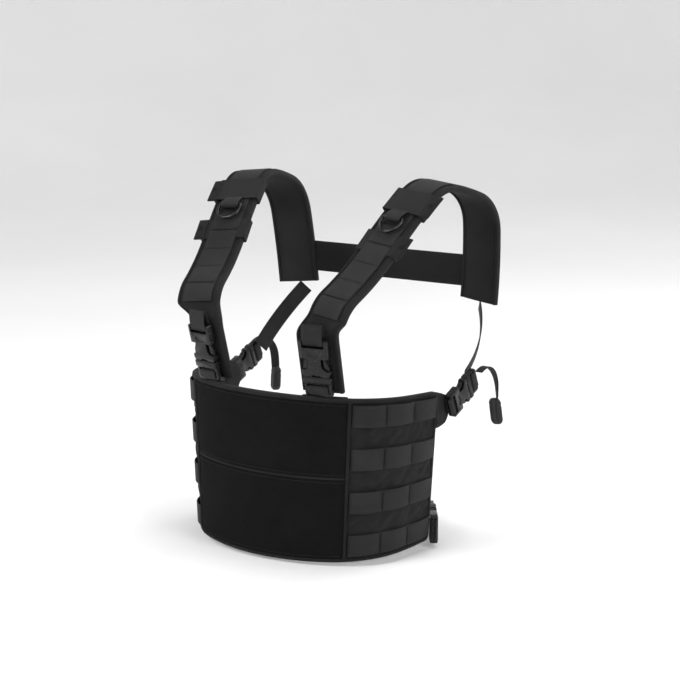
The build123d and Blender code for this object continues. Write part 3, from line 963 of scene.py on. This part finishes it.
def shell_depth(s, z):
    """Front of the panel's shell: slack cloth that puckers between the rows of webbing."""
    run = abs(s)
    slack = 0.5 + 0.9 * wobble(run, z, 26) + 0.5 * wobble(run + z, z - run * 0.5, 13, 3.1)
    pucker = wobble(run - 0.9 * z, (z + run) * 0.45, 11, 7.7) + 0.5 * wobble(run, z, 8, 2.6)
    slack += (0.4 + 3.4 * pucker) * between_rows(s, z)
    return -0.7 + slack * rim(s, PANEL_REACH, 9) * rim(z, PANEL_HALF_HEIGHT, 9)


def lining_depth(s, z):
    """Back of the panel: padding that stands full between its seams."""
    full = rim(s, PANEL_REACH, 14) * rim(z, PANEL_HALF_HEIGHT, 14)
    return PANEL_BACK + 0.9 - 1.1 * full**0.5 + 0.25 * wobble(s, z, 30, 8.0)


def make_panel():
    lengths = steps(-PANEL_REACH + UNDER_BINDING, PANEL_REACH - UNDER_BINDING, PANEL_PITCH)
    height = PANEL_HALF_HEIGHT - UNDER_BINDING
    widths = steps(-height, height, PANEL_PITCH)
    shell = Skin().slab(on_panel, lengths, widths, shell_depth, lambda s, z: PANEL_MIDDLE)
    shell = shell.piece("panel_front", "shell_fabric", "vest", "panel_shell", "panel_foam")
    lining = Skin().slab(on_panel, lengths, widths, lambda s, z: PANEL_MIDDLE - 0.1, lining_depth)
    lining = lining.piece("panel_back", "lining_mesh", "vest", "panel_lining")


def rounded_rectangle(half_s, half_z, radius):
    """Stations round the panel's edge: place and the way outward, anticlockwise."""
    stations = []
    for corner, (cs, cz) in enumerate(((1, 1), (-1, 1), (-1, -1), (1, -1))):
        centre = (cs * (half_s - radius), cz * (half_z - radius))
        for a in steps(corner * pi / 2, (corner + 1) * pi / 2, pi / 12):
            out = (cos(a), sin(a))
            stations.append((centre[0] + radius * out[0], centre[1] + radius * out[1], *out))
        s, z, ns, nz = stations[-1]
        straight = 2 * (half_s - radius) if corner % 2 == 0 else 2 * (half_z - radius)
        for run in steps(0, straight, BINDING_PITCH)[1:-1]:
            stations.append((s - nz * run, z + ns * run, ns, nz))
    return stations


BINDING_RING = [
    (0.0, -3.2), (0.25, -0.8), (1.1, 0.55), (4.4, 0.75), (5.0, 0.0),
    (5.0, -6.6), (4.4, -7.2), (1.1, -7.1), (0.25, -5.7),
]


def make_binding():
    stations = rounded_rectangle(PANEL_REACH, PANEL_HALF_HEIGHT, PANEL_CORNER)
    rings = []
    for s, z, ns, nz in stations:
        ripple = 0.18 * wobble(s, z, 9, 5.0)
        rings.append([on_panel(s - ns * i, z - nz * i, d + ripple) for i, d in BINDING_RING])
    rub = [0.35, 0.25, 0.1, 0, 0, 0, 0, 0.1, 0.2]
    binding = Skin().loft(rings, closed=True, rub=rub)
    binding.piece("panel_edge_binding", "binding_tape", "vest", "panel_binding")
    runs = []
    for (s0, z0, ns, nz), (s1, z1, next_ns, _) in zip(stations, stations[1:]):
        if abs(ns - next_ns) > 0.01:  # no stitches round the corners
            continue
        run = []
        for share, d in BINDING_STITCH:
            s = s0 + (s1 - s0) * share - ns * BINDING_STITCH_INSET
            z = z0 + (z1 - z0) * share - nz * BINDING_STITCH_INSET
            run.append(on_panel(s, z, d))
        runs.append(run)
    stitches = Skin().thread(runs, UP + Vector((0.01, 0.02, 0)))
    stitches.piece("panel_binding_stitches", "thread", "vest", slot="binding_tape")


def make_loop_fields():
    top = PANEL_HALF_HEIGHT - 4.6
    spans = {"upper": (SEAM_Z + 1.0, top), "lower": (-top, SEAM_Z - 1.0)}
    for name, (z0, z1) in spans.items():
        middle, reach = (z0 + z1) / 2, (z1 - z0) / 2

        def front(s, z):
            soft = rim(s, LOOP_REACH, 2.5) * rim(z - middle, reach, 2.5)
            return 0.5 + 1.0 * soft**0.5 + 0.45 * wobble(s, z, 34, 2.0) * soft

        lengths = steps(-LOOP_REACH, LOOP_REACH, 3)
        skin = Skin().slab(on_panel, lengths, steps(z0, z1, 3), front, lambda s, z: -0.6, 0.3)
        field = skin.piece(f"loop_pile_{name}", "loop_fabric", "vest", f"loop_field_{name}")
        edge = Skin()
        for z in (z0 + FIELD_STITCH_INSET, z1 - FIELD_STITCH_INSET):
            edge.thread(seam(on_panel, -LOOP_REACH + 2, LOOP_REACH - 2, z, 1.45), UP)
        edge.piece(f"loop_stitches_{name}", "thread", "vest", slot="loop_fabric")


def beside_field(sign):
    """Up the tape at one end of the loop field; w runs across the tape."""

    def at(z, w, d):
        return on_panel(sign * (LOOP_REACH + EDGE_TAPE / 2 + w), z, d)

    return at


def make_seam_tapes():
    skin = Skin()
    stitches = Skin()
    ribbon(skin, on_panel, steps(-LOOP_REACH, LOOP_REACH, 4), SEAM_TAPE / 3,
           lambda s: (0.2, 0.6 + 0.2 * wobble(s, 0, 12)), SEAM_Z)
    height = PANEL_HALF_HEIGHT - 4
    for sign in SIDES.values():
        at = beside_field(sign)
        ribbon(skin, at, steps(-height, height, 4), EDGE_TAPE / 2 - 0.6, lambda z: (0.1, 1.7))
        stitches.thread(seam(at, -height, height, 0, 1.7), Vector((0, -1, 0)))
    skin.piece("panel_seam_tapes", "binding_tape", "vest", "seam_tapes")
    stitches.piece("seam_tape_stitches", "thread", "vest", slot="binding_tape")


def make_grid():
    end = GRID_START + GRID_CELLS * GRID_CELL
    for side, sign in SIDES.items():
        at = on_side(on_panel, sign)
        rows = Skin()
        tacks = Skin()
        for row in range(GRID_ROWS):
            centre = GRID_TOP - WEBBING / 2 - row * 2 * WEBBING

            def depths(s, row=row):
                share = ((s - GRID_START) / GRID_CELL) % 1.0
                cell = int((s - GRID_START) / GRID_CELL)
                full = 1 + 0.35 * wobble(cell * 7.3, row * 5.1, 1.7, sign * 1.3)
                rise = GRID_BULGE * full * max(0.0, sin(pi * share)) ** 0.7
                return 0.15 + rise, 0.15 + WEB + rise

            ribbon(rows, at, steps(GRID_START, end, GRID_CELL / 14), WEBBING / 2, depths, centre)
            for cell in range(GRID_CELLS + 1):
                s = min(max(GRID_START + cell * GRID_CELL, GRID_START + 2), end - 2)
                run = bartack(at, s, centre - WEBBING / 2 + 1, centre + WEBBING / 2 - 1, 1.95)
                tacks.thread(run, at(s, centre, 10) - at(s, centre, 0), 0.35)
        rows.piece(f"wing_webbing_{side}", "webbing", "vest", f"webbing_grid_{side}")
        tacks.piece(f"wing_bartacks_{side}", "thread", "vest", slot="webbing")


# ---- the shoulder straps ----


BOX_STITCH_W = 16.5
PIPING_STITCH_W = 24.7
STRAP_STITCHES = [STRAP_WEBBING_START - 4 + STRAP_CELL * i for i in range(6)]


def strap_rise(s):
    """How far the strap's webbing stands off the pad between its cross stitches."""
    if s > STRAP_STITCHES[-1]:
        return 0.0
    share = ((s - STRAP_STITCHES[0]) / STRAP_CELL) % 1.0
    return 1.1 * max(0.0, sin(pi * share)) ** 0.6


def pad_front(s, w):
    share = abs(w) / PAD_HALF_WIDTH
    return -0.1 - 1.2 * share**6 + 0.15 * wobble(s, w, 15, 4.0)


def pad_back(s, w):
    share = abs(w) / PAD_HALF_WIDTH
    return -PAD_THICKNESS - 0.4 + 1.8 * share**4 + 0.3 * wobble(s, w, 18, 6.0)


PIPING_RING = [
    (23.4, 0.0), (23.9, 0.45), (25.8, 0.35), (27.0, -0.6), (27.5, -3.0),
    (27.0, -5.5), (25.8, -6.5), (23.9, -6.5), (23.4, -6.0),
]


def strap_normal(sign, s):
    return mirrored(strap_directions(UPPER_PART, s)[1], sign)


def make_strap(side, sign):
    at = on_side(on_strap, sign)
    lengths = steps(PAD_START, STRAP_LENGTH, 4)
    widths = steps(-PAD_HALF_WIDTH, PAD_HALF_WIDTH, 3)
    pad = Skin().slab(at, lengths, widths, pad_front, pad_back)
    pad = pad.piece(f"shoulder_pad_{side}", "pad_fabric", "vest", f"strap_pad_{side}")
    webbing = Skin()
    stations = steps(STRAP_WEBBING_START, STRAP_WEBBING_END, 3)
    ribbon(webbing, at, stations, STRAP_WEBBING_HALF, lambda s: (-0.1, 1.5 + strap_rise(s)))
    webbing.piece(f"shoulder_webbing_{side}", "webbing", "vest", f"strap_webbing_{side}")
    tacks = Skin()
    for s in STRAP_STITCHES[1:]:
        run = bartack(at, s, 1 - STRAP_WEBBING_HALF, STRAP_WEBBING_HALF - 1, 1.75, 0.9)
        tacks.thread(run, strap_normal(sign, s))
    for w in (-BOX_STITCH_W, BOX_STITCH_W):
        run = seam(at, STRAP_WEBBING_START + 2, STRAP_WEBBING_START + 20, w, 1.9)
        tacks.thread(run, strap_normal(sign, STRAP_WEBBING_START))
    tacks.piece(f"shoulder_bartacks_{side}", "thread", "vest", slot="webbing")


def make_piping():
    skin = Skin()
    stitches = Skin()
    for sign in SIDES.values():
        at = on_side(on_strap, sign)
        for edge in (1, -1):
            rings = [
                [at(s, edge * w, d) for w, d in PIPING_RING]
                for s in steps(PAD_START, STRAP_LENGTH, 4)
            ]
            skin.loft(rings, rub=[0, 0, 0.1, 0.3, 0.4, 0.3, 0.1, 0, 0])
            run = seam(at, PAD_START + 2, STRAP_LENGTH - 2, edge * PIPING_STITCH_W, 0.42)
            stitches.thread(run, STRAP_UPWARD)
    skin.piece("shoulder_edge_binding", "binding_tape", "vest", "strap_piping")
    stitches.piece("shoulder_edge_stitches", "thread", "vest", slot="binding_tape")


KEEPER_INSIDE = (28.0, -7.2)  # half the band's width and its depth behind the strap
KEEPER_OUTSIDE = (29.4, -8.6)
KEEPER_CORNER = 2.0
KEEPER_FRONTS = [(LOWER_KEEPER, 1.3, 2.6), (UPPER_KEEPER, 3.6, 3.6)]  # span, band's and tab's front


def make_keepers():
    skin = Skin()
    stitches = Skin()
    reach = PAD_HALF_WIDTH + KEEPER_TAB
    for sign in SIDES.values():
        at = on_side(on_strap, sign)
        for (s0, s1), front, tab_top in KEEPER_FRONTS:
            inside = rectangle(*KEEPER_INSIDE, front - 1.1, KEEPER_CORNER)
            outside = rectangle(*KEEPER_OUTSIDE, front, KEEPER_CORNER)
            rings = []
            for (wi, di), (wo, do) in zip(inside, outside):
                rings.append([at(s0, wi, di), at(s0 + 0.2, (wi + wo) / 2, (di + do) / 2),
                              at(s0, wo, do), at(s1, wo, do),
                              at(s1 - 0.2, (wi + wo) / 2, (di + do) / 2), at(s1, wi, di)])
            skin.loft(rings, closed=True, rub=[0, 0.3, 0.4, 0.4, 0.3, 0])

            def tab_front(s, w):
                soft = rim(s - (s0 + s1) / 2, (s1 - s0) / 2, 2.5)
                soft *= rim(w - reach + 14, 14, 2.5)
                return tab_top - 1.3 + 1.3 * soft**0.5 - 0.6 * ((w - 27) / KEEPER_TAB) ** 2

            skin.slab(at, steps(s0, s1, 1), steps(PAD_HALF_WIDTH - 1, reach, 1), tab_front,
                      lambda s, w: tab_top - 3.2, 0.3)
            run = bartack(at, (s0 + s1) / 2, PAD_HALF_WIDTH + 4, reach - 3, tab_top, 3.2, 1.2)
            stitches.thread(run, strap_normal(sign, s0))
    skin.piece("shoulder_keepers", "elastic", "vest", "strap_keepers")
    stitches.piece("keeper_stitches", "thread", "vest", slot="elastic")


# ---- D-rings ----


def mapped(matrix, sign, size=1.0):
    """From a frame's own millimetres to the rig's, on either side."""

    def at(u, v, z):
        return mirrored(matrix @ (Vector((u, v, z)) * size), sign)

    return at


def ring_outline():
    """Closed way round the D: the bar, two corners, two legs and the bow, with the way outward."""
    stations = []
    inner = RING_HALF - RING_CORNER
    stations += [(x, 0.0, 0.0, 1.0) for x in steps(-inner, inner, 3)]
    stations += [
        (inner + RING_CORNER * sin(a), -RING_CORNER + RING_CORNER * cos(a), sin(a), cos(a))
        for a in steps(0, pi / 2, pi / 12)[1:]
    ]
    drop = RING_DROP - RING_HALF
    stations += [
        (RING_HALF * cos(a), -drop - RING_HALF * sin(a), cos(a), -sin(a))
        for a in steps(0, pi, pi / 24)
    ]
    stations += [
        (-inner - RING_CORNER * cos(a), -RING_CORNER + RING_CORNER * sin(a), -cos(a), sin(a))
        for a in steps(0, pi / 2, pi / 12)[:-1]
    ]
    return stations


def make_ring(side, sign):
    at = mapped(ring_frame(), sign)
    rings = []
    for x, y, nx, ny in ring_outline():
        rings.append(
            [
                at(x + nx * RING_WIRE * cos(a), y + ny * RING_WIRE * cos(a), RING_WIRE * sin(a))
                for a in circle(14)
            ]
        )
    ring = Skin().loft(rings, closed=True)
    ring.piece(f"dee_ring_{side}", "ring_metal", f"d_ring_{side}", f"d_ring_{side}", sharp=70)


# ---- webbing folded round a bar ----


def fold_path(bar_length, bar_half, leg, pinch):
    """The webbing's middle line: out along one leg, round the bar and back along the other."""
    points = [(bar_length + leg, pinch)]
    points += [(v, bar_half + (pinch - bar_half) * ((v - bar_length) / leg) ** 2)
               for v in steps(bar_length + leg, bar_length, 3)[1:-1]]
    points.append((bar_length, bar_half))
    points.append((bar_length * 0.5, bar_half))
    for a in steps(pi / 2, 3 * pi / 2, pi / 8):
        points.append((min(bar_half, bar_length / 2) * cos(a) + 0.2, bar_half * sin(a)))
    points.append((bar_length * 0.5, -bar_half))
    points.append((bar_length, -bar_half))
    points += [(v, -(bar_half + (pinch - bar_half) * ((v - bar_length) / leg) ** 2))
               for v in steps(bar_length, bar_length + leg, 3)[1:]]
    return points


# Each bar: where it starts, which way its webbing leaves, its length and half its thickness.
SOCKET_BAR = (39, 1, 5, 3)
LADDER_BAR = (-13.5, -1, 3.5, 3)
RING_BAR = (-RING_WIRE, 1, 2 * RING_WIRE, RING_WIRE)
FOLD_HALF = 12.5
FOLD_THICK = 1.4
FOLD_PLAY = 0.25


def fold(skin, at, bar, leg, half, pinch):
    """Webbing folded round a bar; its legs end the pinch apart from the bar's middle plane."""
    v, direction, bar_length, bar_half = bar
    path = fold_path(bar_length, bar_half + FOLD_PLAY + FOLD_THICK / 2, leg, pinch)
    ring = flat_ring(half, -FOLD_THICK / 2, FOLD_THICK / 2)
    rings = []
    for i, (run, z) in enumerate(path):
        before = path[max(i - 1, 0)]
        after = path[min(i + 1, len(path) - 1)]
        heading = atan2(after[1] - before[1], after[0] - before[0])
        rings.append(
            [at(w, v + direction * (run - d * sin(heading)), z + d * cos(heading)) for w, d in ring]
        )
    return skin.loft(rings, rub=edge_rub(ring))


# ---- side-release buckles ----


def prism(outline, low, high, inset=0.0, crown=0.0):
    """Solid over an outline, its front and back faces inset and raised a little."""
    shape = bmesh.new()
    count = len(outline)
    bottom = [shape.verts.new((u, v, low)) for u, v in outline]
    top = [shape.verts.new((u, v, high)) for u, v in outline]
    faces = [shape.faces.new(bottom), shape.faces.new(top)]
    for i in range(count):
        j = (i + 1) % count
        shape.faces.new((bottom[i], bottom[j], top[j], top[i]))
    bmesh.ops.recalc_face_normals(shape, faces=shape.faces)
    if crown:
        for face in faces:
            bmesh.ops.inset_region(shape, faces=[face], thickness=inset, depth=crown)
    mesh = bpy.data.meshes.new("prism")
    shape.to_mesh(mesh)
    shape.free()
    holder = bpy.data.objects.new("prism", mesh)
    bpy.context.scene.collection.objects.link(holder)
    return holder


def carve(solids, cutters, bevel=0.45):
    """Mesh of the solids joined, the cutters taken out and its edges rounded."""
    body = solids[0]
    for operation, others in (("UNION", solids[1:]), ("DIFFERENCE", cutters)):
        for other in others:
            cut = body.modifiers.new("carve", "BOOLEAN")
            cut.operation = operation
            cut.object = other
            cut.solver = "EXACT"
    soften = body.modifiers.new("soften", "BEVEL")
    soften.width = bevel
    soften.segments = 2
    soften.limit_method = "ANGLE"
    soften.angle_limit = radians(30)
    bpy.context.view_layer.update()
    graph = bpy.context.evaluated_depsgraph_get()
    mesh = bpy.data.meshes.new_from_object(body.evaluated_get(graph))
    for item in (*solids, *cutters):
        bpy.data.objects.remove(item)
    return mesh


BUCKLE_HALF = 17
BUCKLE_WEAR = 0.12
WEB_SLOT_HALF = 13.5
CUT = 6  # half the depth of a cutter that goes right through


def socket_mesh():
    """The half with the mouth, its sides cut away round the barbs."""
    body = prism(rectangle(BUCKLE_HALF, 0, SOCKET_LENGTH, 3.2), -4.1, 4.1, 3.0, 0.85)
    cutters = [prism(rectangle(13.7, -1, 31), -3.1, 3.1)]
    for side in (-1, 1):
        notch = [(18, 22), (8, 22), (8, 14)]
        notch += [(18 - 10 * cos(a), 14 - 7 * sin(a)) for a in steps(pi / 12, pi / 2, pi / 12)]
        cutters.append(prism([(side * u, v) for u, v in notch], -CUT, CUT))
        low, high = sorted((side * 3.0, side * 9.0))
        cutters.append(prism(rectangle(WEB_SLOT_HALF, 39.2, 46), low, high))
    cutters.append(prism(rectangle(WEB_SLOT_HALF, 34.5, 39, 1.2), -CUT, CUT))
    cutters.append(prism(rectangle(7, 24.5, 31, 3.0), 4.3, CUT))
    cutters.append(prism([(-6, -1), (6, -1), (4.2, 2.4), (-4.2, 2.4)], 3.0, CUT))
    return carve([body], cutters)


def plug_mesh():
    """The half that goes in: shoulder, ladder with two slots, and the middle tongue."""
    shoulder = prism(rectangle(BUCKLE_HALF, -8.4, -0.4, 1.4), -4.2, 4.2, 1.6, 0.75)
    ladder = prism(rectangle(16.6, -24, -6, 2.6), -2.5, 2.5, 1.2, 0.45)
    tongue = prism(rectangle(3.2, -2, 25, 1.0), -2.3, 2.3)
    slots = [(-13.5, -9.5), (-21, -17)]
    cutters = [prism(rectangle(WEB_SLOT_HALF, v0, v1, 0.9), -CUT, CUT) for v0, v1 in slots]
    return carve([shoulder, ladder, tongue], cutters)


def prong_mesh():
    outline = [
        (9.4, -0.1), (12.2, -0.1), (12.2, 6.2), (13.0, 7.1), (15.5, 7.3), (15.7, 9.5),
        (15.2, 13), (13.6, 17), (12.2, 19), (11.6, 24), (10.9, 25.7), (9.6, 25.7),
    ]
    return carve([prism(outline, -2.5, 2.5)], [], 0.35)


def place_mesh(name, mesh, at, look):
    """A copy of a mesh, each point moved by at, which turns millimetres into the rig's."""
    copy = mesh.copy()
    copy.name = name
    for vertex in copy.vertices:
        vertex.co = at(*vertex.co) * MM
    mark_wear(copy, [BUCKLE_WEAR] * len(copy.vertices))
    return finish_mesh(name, copy, look, 35)


BUCKLE_MESHES = {"socket": socket_mesh(), "plug": plug_mesh(), "prong": prong_mesh()}
BUCKLE_BODIES = {
    "front": ("front_socket", "vest"),
    "side": ("vest", "side_plug"),
    "waist": ("vest", "waist_plug"),
}


def make_buckle(name, matrix, size):
    """Socket, plug and prongs of one buckle on each side."""
    for side, sign in SIDES.items():
        at = mapped(matrix, sign, size)

        def other(u, v, z):
            return at(-u, v, z)

        parts = {
            "socket": (BUCKLE_MESHES["socket"], at, BUCKLE_BODIES[name][0]),
            "plug": (BUCKLE_MESHES["plug"], at, BUCKLE_BODIES[name][1]),
            "prong_a": (BUCKLE_MESHES["prong"], at, f"{name}_prong_a"),
            "prong_b": (BUCKLE_MESHES["prong"], other, f"{name}_prong_b"),
        }
        for part, (mesh, where, body) in parts.items():
            piece = place_mesh(f"{name}_buckle_{part}_{side}", mesh, where, "buckle_plastic")
            body = body if body == "vest" else f"{body}_{side}"
            settle(piece, body, "buckle_plastic", f"{name}_{part}_{side}")


def make_folds():
    """Every loop of webbing round a buckle's bar or a ring's."""
    front, waist, sides = front_frame(), waist_frame(), side_frame()
    fixed = Skin()
    ladders = Skin()
    rings = Skin()
    for side, sign in SIDES.items():
        at = mapped(front, sign)
        moving = fold(Skin(), at, SOCKET_BAR, 16, FOLD_HALF, 0.9)
        moving.piece(f"front_web_fold_{side}", "webbing", f"front_socket_{side}",
                     f"front_fold_{side}")
        fold(ladders, at, LADDER_BAR, 5, FOLD_HALF, 2.2)
        for name, at in (
            ("waist", mapped(waist, sign)),
            ("side", mapped(sides, sign, SIDE_BUCKLE_SCALE)),
        ):
            fold(fixed, at, SOCKET_BAR, 3, FOLD_HALF, 1.5)
            moving = fold(Skin(), at, LADDER_BAR, 10, FOLD_HALF, 0.9)
            moving.piece(f"{name}_web_fold_{side}", "webbing", f"{name}_plug_{side}",
                         f"{name}_fold_{side}")
        at = mapped(ring_frame(), sign)

        def tucked(u, v, z):
            """Sinks the legs towards the strap, so that they run under the keeper."""
            return at(u, v, z - 3.2 * (max(0.0, v) / 12) ** 1.5)

        fold(rings, tucked, RING_BAR, 12, RING_LOOP_HALF, 1.0)
    fixed.piece("socket_web_loops", "webbing", "vest", "socket_loops")
    ladders.piece("ladder_web", "webbing", "vest", "front_ladder_webbing")
    rings.piece("dee_ring_webs", "webbing", "vest", "d_ring_loops")


# ---- straps and tabs round the sides and the back ----


SIDE_TAB_EDGES = [  # y, with the levels of its lower and upper edges there
    (-18, 46, 88), (-8, 47, 85), (0, 49, 82), (4, 52.5, 80), (8, 60, 72),
]
SIDE_TAB_FACES = (151.0, 152.6)
SIDE_STRAP_ENDS = (Vector((149, 50, 99)), Vector((131, 112, 162)))
SIDE_STRAP_FACES = Vector((0.8, 0.6, 0))
SIDE_STRAP_BOW = 7
SIDE_STRAP_HALF = 10
CROSS_BAND_HALF = 19
ROOT_SPAN = (55, 108)
ROOT_LEVELS = (66, 96)
ROOT_DEPTHS = (-11.2, -7.0)


def on_side_tab(y, share, x):
    """Point on the left tab: share runs from its lower edge to its upper edge."""
    for (y0, low0, high0), (y1, low1, high1) in zip(SIDE_TAB_EDGES, SIDE_TAB_EDGES[1:]):
        if y <= y1:
            break
    t = (y - y0) / (y1 - y0)
    low = low0 + (low1 - low0) * t
    high = high0 + (high1 - high0) * t
    return Vector((x, y, low + (high - low) * share))


def make_side_tabs():
    """Laminated tabs that the side buckles' loops are sewn to."""
    skin = Skin()
    stitches = Skin()
    inner, outer = SIDE_TAB_FACES
    start, end = SIDE_TAB_EDGES[0][0], SIDE_TAB_EDGES[-1][0]

    def front(y, share):
        return outer + 0.5 * rim(share - 0.5, 0.5, 0.12) ** 0.5

    for sign in SIDES.values():
        at = on_side(on_side_tab, sign)
        skin.slab(at, steps(start, end, 2), steps(0, 1, 0.07), front, lambda y, share: inner, 0.5)
        runs = []
        for share in (0.1, 0.9):
            runs += seam(at, start + 2, end - 2, share, outer + 0.5, 3.2)
        stitches.thread(runs, Vector((sign, 0, 0)), 0.3)
    skin.piece("side_tab_plates", "shell_fabric", "vest", "side_tabs")
    stitches.piece("side_tab_stitches", "thread", "vest", slot="shell_fabric")


def make_side_straps():
    start, end = SIDE_STRAP_ENDS
    chord = end - start
    across = chord.cross(SIDE_STRAP_FACES).normalized()
    outward = across.cross(chord).normalized()
    ring = flat_ring(SIDE_STRAP_HALF, 0.0, WEB)
    for side, sign in SIDES.items():
        rings = []
        for t in steps(-0.03, 1.08, 0.04):
            middle = start + chord * t + outward * SIDE_STRAP_BOW * (1 - (2 * t - 1) ** 2)
            rings.append([mirrored(middle + across * w + outward * d, sign) for w, d in ring])
        strap = Skin().loft(rings, rub=edge_rub(ring))
        strap.piece(f"side_web_{side}", "webbing", "vest", f"side_strap_{side}")


def make_back_straps():
    lengths = steps(WAIST_STRAP_START, WAIST_TOTAL, 5)
    inner, outer = WAIST_STRAP_D
    skin = Skin()
    for sign in SIDES.values():
        ribbon(skin, on_side(on_waist, sign), lengths, WEBBING / 2,
               lambda s: (inner + 0.2 * wobble(s, 0, 20), outer))
    skin.piece("waist_web", "webbing", "vest", "waist_strap")
    low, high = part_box("cross_strap")
    middle = (low + high) / 2 / MM
    reach = high.x / MM + 5

    def at(x, w, d):
        return Vector((x, middle.y + d, middle.z + w))

    band = ribbon(Skin(), at, steps(-reach, reach, 5), CROSS_BAND_HALF, lambda x: (-0.8, 0.8))
    band.piece("back_cross_band", "elastic", "vest", "cross_strap")


def make_roots():
    start, end = ROOT_SPAN
    back, front = ROOT_DEPTHS

    def back_depth(s, z):
        return back + 0.8 * (1 - rim(s - (start + end) / 2, (end - start) / 2, 3))

    skin = Skin()
    for sign in SIDES.values():
        at = on_side(on_panel, sign)
        skin.slab(at, steps(start, end, 4), steps(*ROOT_LEVELS, 3),
                  lambda s, z: front, back_depth, 0.3)
    roots = skin.piece("strap_root_pads", "pad_fabric", "vest", "strap_roots")


make_panel()
make_binding()
make_loop_fields()
make_seam_tapes()
make_grid()
for side, sign in SIDES.items():
    make_strap(side, sign)
    make_ring(side, sign)
make_piping()
make_keepers()
make_buckle("front", front_frame(), 1)
make_buckle("side", side_frame(), SIDE_BUCKLE_SCALE)
make_buckle("waist", waist_frame(), 1)
make_folds()
make_side_tabs()
make_side_straps()
make_back_straps()
make_roots()

boxes = {"cad": CAD_BOX, "visual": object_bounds()}
{name: [[float(c) for c in corner] for corner in box] for name, box in boxes.items()}
